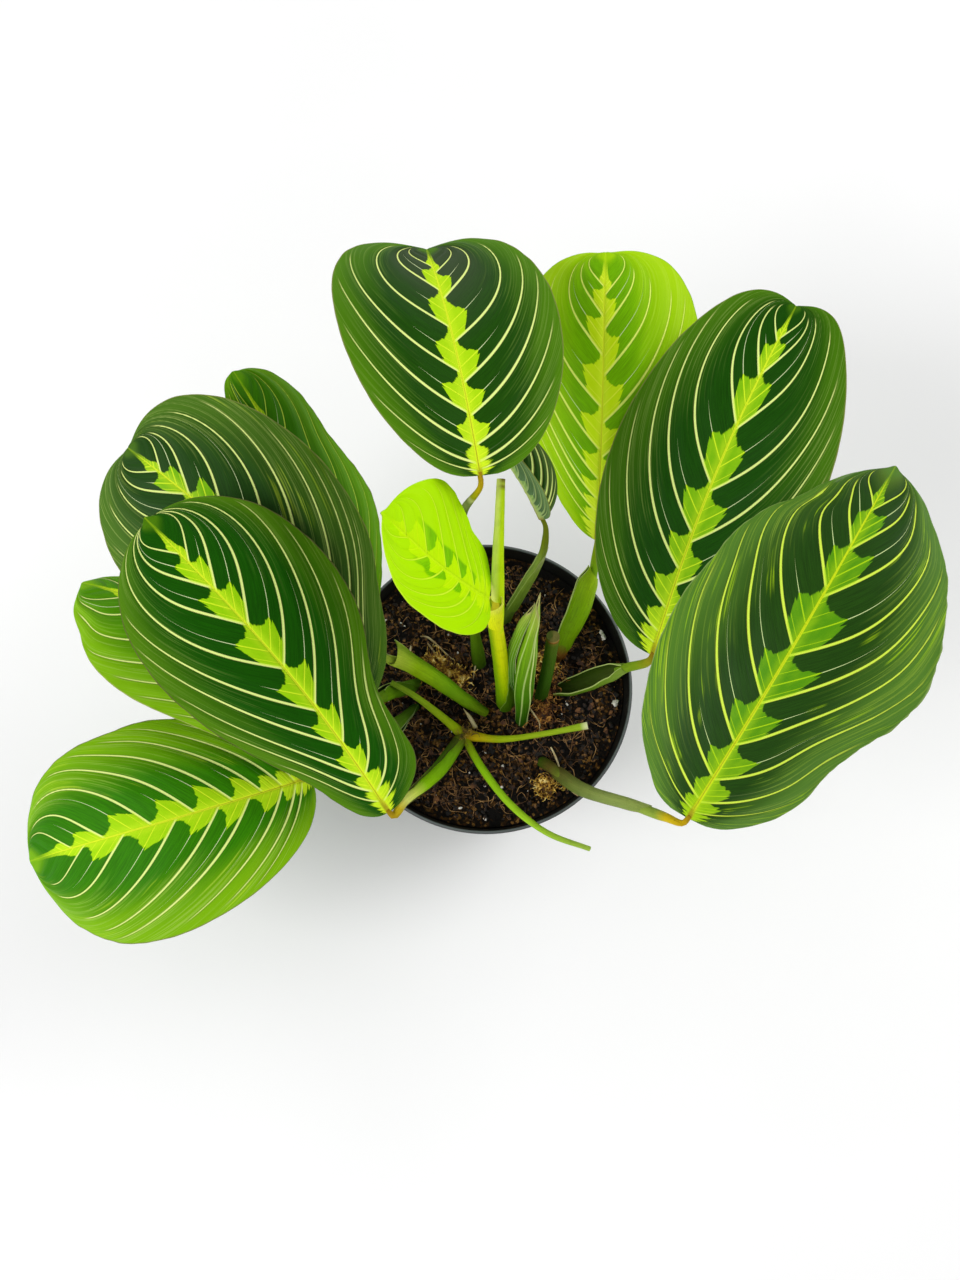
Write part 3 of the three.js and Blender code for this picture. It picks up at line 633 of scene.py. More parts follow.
LEAVES = {
    "top": dict(
        base=(-2, 53, 205), tip=(-22, 150, 180), width=79, roll=12, twist=4, arch=0.17, curl=2,
        fold=0.12, dome=0.06, sweep=-0.01, widest=0.59, base_full=1.95, tip_full=2.45, shoulder=0.58,
        lobe=0.11, seed=3, apex=0.3, dents=[(-1, 0.1, 0.04, 0.15)],
        left=[0.015, 0.04, 0.10, 0.21, 0.36, 0.55, 0.735, 0.88],
        right=[0.02, 0.045, 0.10, 0.20, 0.32, 0.485, 0.69, 0.84]),
    "top_right": dict(
        base=(45, 57, 115), tip=(46, 157, 164), width=71, roll=-16, twist=-7, arch=0.21, curl=2.5,
        dome=0.36, sweep=0.03, widest=0.62, base_full=1.5, tip_full=2.65, shoulder=0.46, seed=5,
        left=[0.06, 0.11, 0.155, 0.23, 0.335, 0.485, 0.66, 0.79, 0.89],
        right=[0.05, 0.10, 0.15, 0.22, 0.31, 0.43, 0.59, 0.745, 0.86]),
    "right": dict(
        base=(65, 8, 123), tip=(113, 126, 182), width=83, roll=-19, twist=4, arch=0.1, fold=0.15,
        dome=0.07, sweep=-0.01, widest=0.5, base_full=1.85, tip_full=1.95, shoulder=0.47, seed=8,
        apex=0.3, dents=[(1, 0.9, 0.06, 0.12)],
        left=[0.035, 0.07, 0.14, 0.255, 0.36, 0.50, 0.665, 0.80, 0.90],
        right=[0.03, 0.065, 0.12, 0.21, 0.335, 0.48, 0.655, 0.81, 0.91]),
    "low_right": dict(
        base=(71, -58, 160), tip=(142, 61, 190), width=86, roll=-7, twist=19, arch=0.21, curl=3.5,
        fold=-0.03, dome=0.32, sweep=0.01, widest=0.52, base_full=2.05, tip_full=1.95, shoulder=-0.06,
        lobe=0.28, seed=13, crinkle=0.3, apex=1.6,
        dents=[(-1, 0.07, 0.08, 0.06), (-1, 0.6, 0.05, 0.12), (-1, 0.89, 0.12, 0.045),
               (1, 0.29, 0.12, 0.1), (1, 0.55, -0.06, 0.12), (1, 0.93, 0.08, 0.06)],
        left=[0.025, 0.055, 0.12, 0.22, 0.345, 0.485, 0.64, 0.765, 0.88],
        right=[0.02, 0.05, 0.115, 0.215, 0.33, 0.46, 0.62, 0.75, 0.865]),
    "left_front": dict(
        base=(-37, -53, 122), tip=(-117, 42, 190), width=76, roll=-2, twist=-6, arch=0.04, curl=3,
        fold=0.03, dome=0.27, sweep=0.03, widest=0.62, base_full=1.5, tip_full=2.4, lobe=0.21, seed=21,
        apex=1.5, dents=[(-1, 0.14, 0.26, 0.2), (1, 0.07, -0.16, 0.07), (1, 0.3, 0.27, 0.14)],
        left=[0.04, 0.075, 0.13, 0.235, 0.355, 0.50, 0.65, 0.775, 0.89],
        right=[0.035, 0.07, 0.13, 0.24, 0.37, 0.505, 0.645, 0.765, 0.86]),
    "left": dict(
        base=(-46, -12, 125), tip=(-131, 76, 169), width=84, roll=-5, twist=25, arch=0.18,
        fold=0.05, dome=0.23, sweep=0.06, widest=0.6, base_full=1.65, tip_full=2.35, shoulder=0.47,
        seed=34, dents=[(1, 0.22, 0.1, 0.1)],
        left=[0.03, 0.06, 0.11, 0.20, 0.33, 0.49, 0.65, 0.80, 0.90],
        right=[0.08, 0.10, 0.14, 0.228, 0.378, 0.51, 0.66, 0.79, 0.89]),
    "left_back": dict(
        base=(-46, 9, 120), tip=(-95, 109, 162), width=66, roll=33, twist=8, arch=0.09, fold=0.03,
        dome=0.27, widest=0.52, base_full=1.9, tip_full=2.25, shoulder=0.23, seed=55,
        dents=[(1, 0.05, 0.35, 0.1), (1, 0.42, -0.12, 0.12), (1, 0.72, 0.12, 0.1),
               (-1, 0.92, 0.55, 0.22)]),
    "left_under": dict(
        base=(-66, -26, 110), tip=(-164, 41, 109), width=69, roll=23, twist=-15, arch=0.21,
        curl=2.5, dome=0.37, sweep=0.04, widest=0.59, base_full=1.5, tip_full=2.2, seed=89,
        dents=[(-1, 0.92, 0.12, 0.06), (1, 0.88, 0.25, 0.15)]),
    "low_left": dict(
        base=(-69, -38, 106), tip=(-186, -70, 84), width=87, twist=16, arch=0.22, curl=2.9,
        fold=0.05, dome=0.23, sweep=-0.02, widest=0.55, base_full=1.8, tip_full=2.3, shoulder=0.15,
        lobe=0.1, seed=144, dents=[(1, 0.65, 0.05, 0.15)],
        left=[0.03, 0.05, 0.09, 0.19, 0.285, 0.42, 0.595, 0.745],
        right=[0.05, 0.09, 0.15, 0.24, 0.36, 0.50, 0.665, 0.80]),
    "young": dict(
        base=(1, 16, 182), tip=(-33, 35, 220), width=50, roll=28, twist=5, arch=0.02, curl=3,
        fold=0.2, dome=0.05, sweep=-0.05, widest=0.58, base_full=1.9, tip_full=2.4, lobe=0.1,
        seed=233, dents=[(-1, 0.95, 0.2, 0.12), (1, 0.27, 0.08, 0.1), (1, 0.75, -0.11, 0.2)],
        left=[0.05, 0.12, 0.19, 0.30, 0.45, 0.60, 0.78],
        right=[0.04, 0.09, 0.15, 0.28, 0.43, 0.61, 0.80]),
    "folded": dict(
        base=(21, 50, 167), tip=(0, 74, 187), width=18, roll=48, arch=0.08, fold=1.2, dome=0.15,
        widest=0.5, base_full=2, tip_full=2, seed=377, ripple=0.15),
}
LEAVES = {name: {**PLAIN_LEAF, **leaf} for name, leaf in LEAVES.items()}


def midrib_frame(leaf, s):
    """The midrib's points, its direction and the two directions square to it, at shares s."""
    base = np.array(leaf["base"], float)
    chord = np.array(leaf["tip"], float) - base
    length = np.linalg.norm(chord)
    along = chord / length
    up = unit(np.array((0, 0, 1.0)) - along * along[2])
    side = np.cross(along, up)
    roll = math.radians(leaf["roll"])
    up_rolled = up * math.cos(roll) + side * math.sin(roll)
    side_rolled = side * math.cos(roll) - up * math.sin(roll)

    def centre(t):
        t = t[:, None]
        hump = (1 - t ** leaf["curl"]) * (1 - (1 - t) ** 2)
        bow = leaf["sweep"] * length * np.sin(math.pi * t)
        return base + chord * t + up_rolled * hump * leaf["arch"] * length + side_rolled * bow

    step = 0.01
    tangent = unit(centre(np.minimum(s + step, 1)) - centre(np.maximum(s - step, 0)))
    level = unit(side_rolled - tangent * dot(tangent, side_rolled))
    square = np.cross(level, tangent)
    twist = math.radians(leaf["twist"]) * (s - 0.5)[:, None]
    across = level * np.cos(twist) + square * np.sin(twist)
    return centre(s), tangent, across, np.cross(across, tangent)


def half_width(leaf, s, w):
    near_base = s < leaf["widest"]
    away = np.where(near_base, (leaf["widest"] - s) / leaf["widest"],
                    (s - leaf["widest"]) / (1 - leaf["widest"]))
    full = np.where(near_base, leaf["base_full"], leaf["tip_full"])
    rounded = np.sqrt(np.maximum(1 - np.maximum(away, 0) ** full, 0))
    narrowed = sum((np.sign(w) == half) * depth * ridge(s - at, spread)
                   for half, at, depth, spread in leaf["dents"])
    return leaf["width"] / 2 * rounded * (1 - narrowed)


def blade_points(leaf, s, w):
    centre, tangent, across, normal = midrib_frame(leaf, s)
    half = half_width(leaf, s, w)
    shift = leaf["shoulder"] * s**4 - leaf["lobe"] * (1 - s) ** 4
    lift = half * (leaf["fold"] * np.abs(w) - leaf["dome"] * w * w)
    return (centre + across * (w * half)[:, None] + normal * lift[:, None]
            + tangent * (half * w * w * shift)[:, None])


def blade_normals(leaf, s, w):
    step = 0.02
    t, v = np.clip(s, 2 * step, 1 - 2 * step), np.clip(w, step - 1, 1 - step)
    along = blade_points(leaf, t + step, v) - blade_points(leaf, t - step, v)
    across = blade_points(leaf, t, v + step) - blade_points(leaf, t, v - step)
    return unit(np.cross(across, along))


def vein_run(start, w):
    """Where the line that leaves the midrib at share start has got to, at share w of the width."""
    reach = np.abs(w)
    first, last = VEIN_EARLY
    even = first + (last - first) * smoothstep(start, first, 2 * first)
    turn = TURN_LEAST + TURN_MORE * np.exp(-1.5 * logit(start))
    back = np.minimum((reach / turn) ** TURN_SHARP, 12)
    run = np.exp(VEIN_RUN * (even * reach + (1 - even) * reach**3) + back)
    return start * run / (1 - start + start * run)


def logit(share):
    share = np.clip(share, 1e-5, 1 - 1e-5)
    return np.log(share / (1 - share))


def vein_start(v):
    return 1 / (1 + np.exp(-VEIN_CROWDING * (v - VEIN_MIDDLE)))


def vein_count(starts, start):
    """How many side veins, and what part of the next, leave the midrib below share start."""
    known = logit(np.array(starts or vein_start(np.arange(1, VEINS + 1)), float))
    before = [known[0] - 5 * VEIN_CROWDING, known[0] - VEIN_CROWDING]
    after = [known[-1] + VEIN_CROWDING, known[-1] + 5 * VEIN_CROWDING]
    places = [-4, 0, *range(1, len(known) + 1), len(known) + 1, len(known) + 5]
    return np.interp(logit(start), [*before, *known, *after], places)


def vein_lines(grid):
    """The side line that each corner of a grid lies on, by where the line starts on the midrib, and
    the corner's share of the half width. Rows crowd towards foot and tip."""
    first, last = 1 / (1 + math.exp(FOOT_CROWDING)), 1 / (1 + math.exp(-TIP_CROWDING))
    crowded = FOOT_CROWDING - (FOOT_CROWDING + TIP_CROWDING) / 2 * (grid[:, 0] + 1)
    start = np.clip((1 / (1 + np.exp(crowded)) - first) / (last - first), 0, 1)
    return start, np.sign(grid[:, 1]) * np.abs(grid[:, 1]) ** 1.25


def vein_counts(leaf, start):
    """How many side veins lie before the line from start, on the left and on the right half."""
    return [vein_count(leaf.get(half), start) for half in ("left", "right")]


def vein_spacing(leaf, start, w, vein):
    """How far the side veins lie apart, square to them, in mm."""
    ahead = np.where(w < 0, *vein_counts(leaf, start + NEXT_LINE))
    here = blade_points(leaf, vein_run(start, w), w)
    step = blade_points(leaf, vein_run(start + NEXT_LINE, w), w) - here
    inward = blade_points(leaf, vein_run(start, w * 0.97), w * 0.97) - here
    inward = inward / np.maximum(np.linalg.norm(inward, axis=1, keepdims=True), 1e-6)
    apart = np.linalg.norm(step - inward * dot(step, inward), axis=1)
    return np.clip(apart / np.maximum(ahead - vein, 1e-4), 0.3, 40)


def blade_sides(leaf, start, w, vein, spacing):
    """The upper and the lower side: swollen between the side veins, grooved along them, wavy at the
    margin and with a keel under the midrib."""
    s, reach, seed = vein_run(start, w), np.abs(w), leaf["seed"]
    half = half_width(leaf, s, w)
    normal = blade_normals(leaf, s, w)
    _, tangent, across, _ = midrib_frame(leaf, s)
    grown = smoothstep(vein, 0.3, 1) * smoothstep(vein, 10.2, 9.2) * smoothstep(spacing, 0.8, 4)
    swell = -QUILT * np.cos(2 * math.pi * vein) * np.sin(math.pi * reach) * grown
    to_vein = np.abs(vein - np.round(vein)) * spacing
    swell -= VEIN_GROOVE * ridge(to_vein, 0.6) * grown * smoothstep(reach, 0.98, 0.6)
    swell -= RIB_GROOVE * (1 - 0.6 * s) * ridge(w * half, 0.8) * smoothstep(s, 0, 0.02)
    length = np.linalg.norm(np.subtract(leaf["tip"], leaf["base"]))
    wavy = leaf["ripple"] * ripple(s * length / EDGE_WAVE + 3 * (w > 0), seed) * reach**7
    wavy *= np.minimum(half / 10, 1)
    low_edge = smoothstep(s, 0.12, 0.3) * smoothstep(s, 0.95, 0.75) * (w > 0)
    crumple = leaf["crinkle"] * low_edge * reach**10
    wavy += 1.2 * crumple * ripple(s * length / CRUMPLE_WAVE, seed + 2)
    nibble = crumple * (0.5 + ripple(s * length / NIBBLE_WAVE, seed + 9))
    point = leaf["apex"] * smoothstep(s, 0.975, 1) * ridge(w * half, 1.6)
    top = (blade_points(leaf, s, w) + normal * (swell + wavy)[:, None]
           - across * (np.sign(w) * nibble)[:, None] + tangent * point[:, None])
    keel = KEEL * (1 - KEEL_TAPER * s) * ridge(w * half, 0.9) * smoothstep(s, 0, 0.01)
    return top, top - normal * (BLADE - BLADE_THINNING * reach + keel)[:, None], half


def blade(name, finishes, slot):
    """A closed blade: a grid laid along the side veins, bent to the leaf and given its thickness."""
    leaf = LEAVES[name]
    bm = bmesh.new()
    vein_map, place_map = (bm.loops.layers.uv.new(label) for label in ("veins", "place"))
    number, under = (bm.verts.layers.int.new(label) for label in ("number", "under"))
    bmesh.ops.create_grid(bm, x_segments=BLADE_ROWS, y_segments=BLADE_COLUMNS, size=1)
    bm.verts.ensure_lookup_table()
    start, w = vein_lines(np.array([vert.co[:2] for vert in bm.verts]))
    left, right = vein_counts(leaf, start)
    vein = np.where(w < 0, left, right)
    spacing = vein_spacing(leaf, start, w, vein)
    top, bottom, half = blade_sides(leaf, start, w, vein, spacing)
    for i, vert in enumerate(bm.verts):
        vert[number] = i
        vert.co = top[i] * MM
    for face in bm.faces:
        numbers = [loop.vert[number] for loop in face.loops]
        sign = -1 if sum(w[i] for i in numbers) < 0 else 1
        count = left if sign < 0 else right
        for loop, i in zip(face.loops, numbers):
            loop[vein_map].uv = (count[i], sign * abs(w[i]))
            loop[place_map].uv = (w[i] * half[i], spacing[i])
    grown = bmesh.ops.extrude_face_region(bm, geom=bm.faces[:], use_keep_orig=True)["geom"]
    for vert in (item for item in grown if isinstance(item, bmesh.types.BMVert)):
        vert[under] = 1
        vert.co = bottom[vert[number]] * MM
    for face in bm.faces:
        face.material_index = int(all(vert[under] for vert in face.verts))
    bmesh.ops.remove_doubles(bm, verts=bm.verts[:], dist=0.004 * MM)
    bmesh.ops.recalc_face_normals(bm, faces=bm.faces[:])
    if bm.calc_volume(signed=True) < 0:  # the line above can turn a thin curved sheet inside out
        bmesh.ops.reverse_faces(bm, faces=bm.faces[:])
    for label in ("number", "under"):
        bm.verts.layers.int.remove(bm.verts.layers.int[label])
    piece(bm, "blade_" + name, finishes, ["leaf_" + name], sharp=50)


DARK_LEAF = {
    "Core": (22, 64, 6), "Outer": (72, 112, 16), "Rim": (120, 130, 62), "Feather": (150, 200, 12),
    "Veinlet": (212, 240, 40), "Vein": (224, 240, 140), "Rib": (214, 236, 40), "Apex": (52, 66, 40),
}
LEAF_TONES = {
    "top": dict(
        # Its Apex tone is a painted purple-grey sheen near the tip.
        Core=(28, 72, 4), Outer=(76, 124, 8), Feather=(164, 212, 10), Apex=(66, 74, 56), apex_share=0.6,
        reach=0.22, stripes=0.3, fuzz=0.6, pale_from=0.5, pale_to=1.05),
    "top_right": dict(
        Core=(112, 176, 4), Outer=(164, 210, 8), Rim=(150, 190, 40), Feather=(196, 232, 12),
        Veinlet=(224, 246, 60), Vein=(228, 246, 110), short_veins=1.0, reach=0.27, stripes=0.45,
        fuzz=0.2, pale_from=0.2, rust=0.1),
    "right": dict(
        Core=(24, 72, 4), Outer=(66, 112, 10), Feather=(122, 182, 10), short_veins=1.0, fuzz=0.2,
        pale_from=0.42, pale_to=1.0),
    "low_right": dict(
        Core=(30, 66, 8), Outer=(80, 122, 38), Rim=(124, 150, 80), Feather=(80, 142, 6),
        Veinlet=(168, 210, 14), Vein=(206, 232, 74), Rib=(196, 218, 20), Apex=(86, 118, 30),
        apex_share=0.7, apex_from=8.8, short_veins=1.0, lean=0.18, stripes=0.6, patches=0.5,
        fuzz=0.15, gloss=0.09),
    "left_front": dict(
        Core=(22, 80, 2), Outer=(78, 124, 10), Rim=(94, 92, 52), Feather=(146, 204, 8), reach=0.24,
        stripes=0.35, fuzz=0.45, pale_from=0.5, pale_to=1.05),
    "left": dict(
        Core=(32, 70, 14), Outer=(72, 112, 24), Feather=(120, 184, 12), reach=0.26, short_veins=1.0,
        stripes=0.7, patches=0.2, fuzz=0.2, gloss=0.09),
    "left_back": dict(
        Core=(60, 122, 4), Outer=(96, 152, 8), Feather=(140, 190, 20), Vein=(190, 220, 70),
        stripes=0.6, fuzz=0.2, vein_size=0.7),
    "left_under": dict(
        Core=(78, 142, 2), Outer=(124, 178, 8), Rim=(168, 178, 90), Feather=(160, 206, 16),
        reach=0.28, fuzz=0.2),
    "low_left": dict(
        Core=(50, 122, 2), Outer=(120, 174, 8), Feather=(158, 212, 10), stripes=0.65, patches=0.2,
        fuzz=0.2),
    "young": dict(
        Core=(126, 200, 0), Outer=(178, 234, 0), Rim=(186, 226, 40), Feather=(192, 242, 0),
        Veinlet=(206, 248, 8), Vein=(214, 250, 50), Rib=(206, 246, 20), reach=0.36, stripes=0.1,
        fuzz=0.2, vein_size=0.6, pale_from=0.24, pale_to=0.3, rust=0.0, ends=1.0),
    "folded": dict(Core=(36, 74, 20), Outer=(70, 100, 44), reach=0.2, fuzz=0.2),
}
UNDERSIDE = {
    "Core": (96, 128, 84), "Outer": (116, 148, 94), "Rim": (140, 150, 100), "Feather": (130, 164, 88),
    "Veinlet": (160, 190, 110), "Vein": (164, 188, 122), "Rib": (178, 196, 116), "Apex": (96, 120, 84),
    "reach": 0.2, "stripes": 0.3, "vein_size": 0.8,
}


def leaf_finishes(name):
    """The finish of a blade's upper side and of its underside."""
    known = {"Seed": LEAVES[name]["seed"] * 1.37 % 50,
             "Last vein": float(len(LEAVES[name].get("left", range(VEINS - 1))))}
    found = []
    for label, values in (("", {**DARK_LEAF, **LEAF_TONES[name]}), ("_underside", UNDERSIDE)):
        sockets = {key.replace("_", " ").capitalize(): tone(*value) if isinstance(value, tuple) else value
                   for key, value in values.items() if key != "gloss"}
        found.append(leaf_finish("leaf_" + name + label, {**known, **sockets}, values.get("gloss", 0.04)))
    return found


# ---------------------------------------------------------------- stalks and sheaths

def smooth_path(points):
    """PATH_STEPS points at even steps of a smooth curve through the given ones, the curve's
    directions there and its length."""
    points = np.array(points, float)
    ends = [2 * points[0] - points[1], *points, 2 * points[-1] - points[-2]]
    dense = []
    for p0, p1, p2, p3 in zip(ends, ends[1:], ends[2:], ends[3:]):
        d0, d1, d2 = (max(np.linalg.norm(b - a) ** 0.5, 1e-4) for a, b in ((p0, p1), (p1, p2), (p2, p3)))
        t1 = ((p1 - p0) / d0 - (p2 - p0) / (d0 + d1) + (p2 - p1) / d1) * d1
        t2 = ((p2 - p1) / d1 - (p3 - p1) / (d1 + d2) + (p3 - p2) / d2) * d1
        t = np.linspace(0, 1, 60)[:-1, None]
        dense.append(p1 + t1 * t + (3 * (p2 - p1) - 2 * t1 - t2) * t**2 + (2 * (p1 - p2) + t1 + t2) * t**3)
    dense = np.vstack([*dense, points[-1:]])
    run = np.concatenate([[0], np.cumsum(np.linalg.norm(np.diff(dense, axis=0), axis=1))])
    path = along(dense, np.linspace(0, run[-1], PATH_STEPS), run)
    return path, unit(np.gradient(path, axis=0)), run[-1]


def along(line, places, marks):
    """Points of a line at places, where marks says how far along it each given point lies."""
    return np.stack([np.interp(places, marks, line[:, i]) for i in range(3)], axis=1)


def ring_places(route, tangents, t, angle, radius, facing):
    """Places round a path, each at its share t of the path, its angle from the side that is faced
    and its distance from the path. Also returns the path's own places."""
    marks = np.linspace(0, 1, PATH_STEPS)
    middle, heading = along(route, t, marks), unit(along(tangents, t, marks))
    face = np.array(facing, float)
    outward = unit(face - heading * dot(heading, face))
    sideways = np.cross(heading, outward)
    out, side = (np.cos(angle) * radius)[:, None], (np.sin(angle) * radius)[:, None]
    places = middle + outward * out + sideways * side
    return places, middle


def run_grid(bm, columns, rows):
    """A flat grid with the UV map "run": its corners, and their places from -1 to 1."""
    if not bm.loops.layers.uv.get("run"):
        bm.loops.layers.uv.new("run")
    made = bmesh.ops.create_grid(bm, x_segments=columns, y_segments=rows, size=1)["verts"]
    return made, np.array([vert.co[:2] for vert in made])


def lay(bm, made, places, around, t):
    """Moves a grid's corners to their places and fills its UV map. Returns its faces and numbers."""
    run_map = bm.loops.layers.uv["run"]
    number = {vert: i for i, vert in enumerate(made)}
    for vert, place in zip(made, places):
        vert.co = place * MM
    faces = list({face for vert in made for face in vert.link_faces})
    for face in faces:
        for loop in face.loops:
            i = number[loop.vert]
            loop[run_map].uv = (around[i], t[i])
    return faces, number


def radius_at(radii, t):
    place = t * (len(radii) - 1)
    i = np.minimum(np.floor(place).astype(int), len(radii) - 2)
    share = smoothstep(place - i, 0, 1)
    radii = np.array(radii, float)
    return radii[i] + (radii[i + 1] - radii[i]) * share


def tube_bmesh(points, radii, sides=20, spacing=1.2, facing=(0, 0, 1), groove=0.0, bm=None):
    """A closed round stalk along a smooth curve. facing is the side that a groove runs along."""
    route, tangents, length = smooth_path(points)
    rows = max(int(length / spacing), 8)
    bm = bm or bmesh.new()
    made, grid = run_grid(bm, sides, rows + 2)
    around = (grid[:, 0] + 1) / 2
    row = np.round((grid[:, 1] + 1) / 2 * (rows + 2))
    t = np.clip((row - 1) / rows, 0, 1)
    closing = (row < 0.5) | (row > rows + 1.5)  # the first and last rows close the two ends
    angle = 2 * math.pi * (around - 0.5)
    radius = radius_at(radii, t) * (1 - groove * ridge(angle, 0.45)) * np.where(closing, 0.0, 1.0)
    places, _ = ring_places(route, tangents, t, angle, radius, facing)
    lay(bm, made, places, around, t)
    bmesh.ops.remove_doubles(bm, verts=made, dist=0.002 * MM)
    return bm


def sheath_bmesh(points, radii, opening, facing, tip=0.0, wrap=0.0, wall=0.4, columns=36, rows=40):
    """A thin sheath round a stalk, slit along the side it faces. opening lists the slit's half
    angle in degrees along it, tip is how much further the closed side reaches than the slit (or,
    below 0, the slit's edges than the closed side), and wrap widens the spiral so that one edge
    lies over the other. Its inside gets the second finish."""
    route, tangents, _ = smooth_path(points)
    bm = bmesh.new()
    made, grid = run_grid(bm, columns, rows)
    across, t = grid[:, 0], (grid[:, 1] + 1) / 2
    slit = np.abs(across) ** 1.5
    share = t * (1 - tip * slit if tip > 0 else 1 + tip * (1 - slit))
    angle = math.pi + across * np.radians(180 - radius_at(opening, share))
    radius = radius_at(radii, share) * (1 + wrap * across)
    places, middle = ring_places(route, tangents, share, angle, radius, facing)
    faces, number = lay(bm, made, places, (across + 1) / 2, t)
    axis = {face: Vector(middle[number[face.verts[0]]]) * MM for face in faces}
    bmesh.ops.recalc_face_normals(bm, faces=faces)
    if sum((face.calc_center_median() - axis[face]).dot(face.normal) for face in faces) < 0:
        bmesh.ops.reverse_faces(bm, faces=faces)
    inner = bmesh.ops.solidify(bm, geom=faces, thickness=wall * MM)["geom"]
    # The inner faces take the second finish, which paints shade inside the sheath.
    for face in (item for item in inner if isinstance(item, bmesh.types.BMFace)):
        face.material_index = 1
    return bm


def joint_of(name, stalk_end):
    """The last two points of a leaf's stalk, which turn from its direction to the midrib's and
    end under the foot of the blade."""
    centre, tangent, _, normal = midrib_frame(LEAVES[name], np.array([0.0]))
    seat = centre[0] - normal[0] * CAD_BLADE / 2
    coming = unit(seat - np.array(stalk_end, float))
    heading = unit(tangent[0] * (1 - JOINT_TURN) + coming * JOINT_TURN)
    return [tuple(seat - heading * JOINT_LENGTH), tuple(seat + tangent[0] * 1.2 - normal[0] * 0.15)]


STALKS = {
    "top": dict(
        points=[(-2, 9, 78), (-3, 12, 102), (-6, 25, 146), (-8, 38, 170), (-8, 46, 187)],
        radii=[3.2, 2.8, 2.0, 1.4, 1.3, 1.5, 0.9], facing=(0, -1, 0),
        tones=[(0, (42, 72, 8)), (0.4, (84, 120, 12)), (0.85, (104, 128, 44)), (0.895, (128, 142, 74)),
               (0.91, (206, 204, 140)), (0.922, (170, 166, 24)), (0.96, (184, 160, 14)),
               (1, (164, 130, 12))]),
    "top_right": dict(
        points=[(29, 10, 78), (31, 15, 95), (37, 28, 103), (43, 41, 109)],
        radii=[1.6, 1.8, 2.4, 2.6, 2.2, 1.7, 0.9], facing=(0, -1, 0.3),
        tones=[(0.12, (92, 56, 26)), (0.26, (134, 92, 34)), (0.34, (96, 138, 20)), (0.8, (122, 164, 14)),
               (1, (150, 170, 20))]),
    "right": dict(
        points=[(52.5, 4.2, 109), (57, 5.2, 112.5)],
        radii=[1.7, 1.9, 1.8, 1.0], facing=(0, 0, 1),
        tones=[(0, (110, 146, 30)), (0.5, (126, 156, 26)), (0.8, (150, 150, 24)), (1, (142, 112, 20))]),
    "low_right": dict(
        points=[(20, -27, 78), (26, -33, 99), (36, -43, 112), (53, -51, 136), (64, -57, 153)],
        radii=[2.6, 2.3, 2.0, 1.7, 1.7, 1.9, 1.0], facing=(0, 0, 1),
        tones=[(0.15, (58, 84, 14)), (0.24, (84, 74, 28)), (0.34, (112, 138, 40)), (0.6, (138, 160, 66)),
               (0.85, (142, 166, 60)), (0.9, (206, 180, 20)), (0.97, (190, 156, 8)), (1, (150, 122, 20))]),
    "left": dict(
        points=[(-25, 6, 78), (-29, 2, 93), (-37, -2, 100), (-43, -8, 112)],
        radii=[1.6, 1.6, 2.2, 2.4, 2.2, 1.6, 0.9], facing=(0, 0, 1),
        tones=[(0.1, (48, 80, 12)), (0.5, (88, 132, 20)), (0.9, (120, 152, 30)), (1, (146, 130, 26))]),
    "left_back": dict(
        points=[(-2, -9, 79), (-4, -7, 95), (-17, 0, 104.5), (-31, 6.5, 111.5), (-39, 8, 115.5)],
        radii=[1.6, 1.6, 1.8, 1.9, 1.9, 1.6, 0.9], facing=(0, 0, 1),
        tones=[(0.1, (70, 104, 26)), (0.5, (124, 164, 36)), (0.9, (184, 204, 70)), (1, (170, 160, 50))]),
    "left_under": dict(
        points=[(-44, -8, 78), (-46, -12, 95), (-54, -19, 105)],
        radii=[2.0, 2.2, 2.2, 2.0, 1.8, 0.9], facing=(0, 0, 1),
        tones=[(0.1, (48, 84, 12)), (0.6, (78, 116, 20)), (1, (140, 134, 30))]),
    "low_left": dict(
        points=[(-27, -5, 78), (-30, -9, 94), (-40, -22, 101), (-54, -32, 104)],
        radii=[1.6, 1.6, 2.0, 2.2, 2.0, 1.7, 0.9], facing=(0, 0, 1),
        tones=[(0.1, (44, 76, 10)), (0.5, (66, 108, 18)), (0.9, (92, 132, 24)), (1, (150, 136, 30))]),
    "folded": dict(
        points=[(6, 26, 78), (9, 30, 96), (16, 37, 122), (21, 42, 144), (22, 45, 158)],
        radii=[2.6, 2.4, 2.1, 1.9, 1.5, 1.4, 0.8], facing=(0.5, -1, 0.2), groove=0.3,
        tones=[(0.1, (58, 84, 18)), (0.4, (106, 136, 44)), (0.7, (132, 158, 62)), (0.85, (112, 128, 20)),
               (1, (104, 112, 20))]),
}


def stalk(name, replaced, points, radii, tones, facing, groove=0.0, **marks):
    finish = stalk_finish(name, tones, **marks)
    bm = tube_bmesh(points, radii, facing=facing, groove=groove)
    bmesh.ops.recalc_face_normals(bm, faces=bm.faces[:])
    piece(bm, name, [finish], replaced, sharp=60)


def sheath(name, tones, slot="stalk", edge=(186, 204, 120), replaced=(), inside=0.55, shade=(50, 84, 8),
           shade_share=0.3, marks=None, **shape):
    """inside is how bright the sheath's inner face is, next to its outer one: the inner finish is the outer
    tones darkened, painted shade.
    """
    marks = {"fibres": 0.6, "edge_share": 0.9, "shade": shade, "shade_share": shade_share, **(marks or {})}
    outer = stalk_finish(name, tones, edge=edge, **marks)
    # The inner face's tones are the outer ones darkened by inside: painted shade.
    deep = [(place, tuple(channel * inside for channel in colour)) for place, colour in tones]
    inner = stalk_finish(name + "_inside", deep, edge=edge, **marks)
    piece(sheath_bmesh(**shape), name, [outer, inner], replaced, sharp=60)


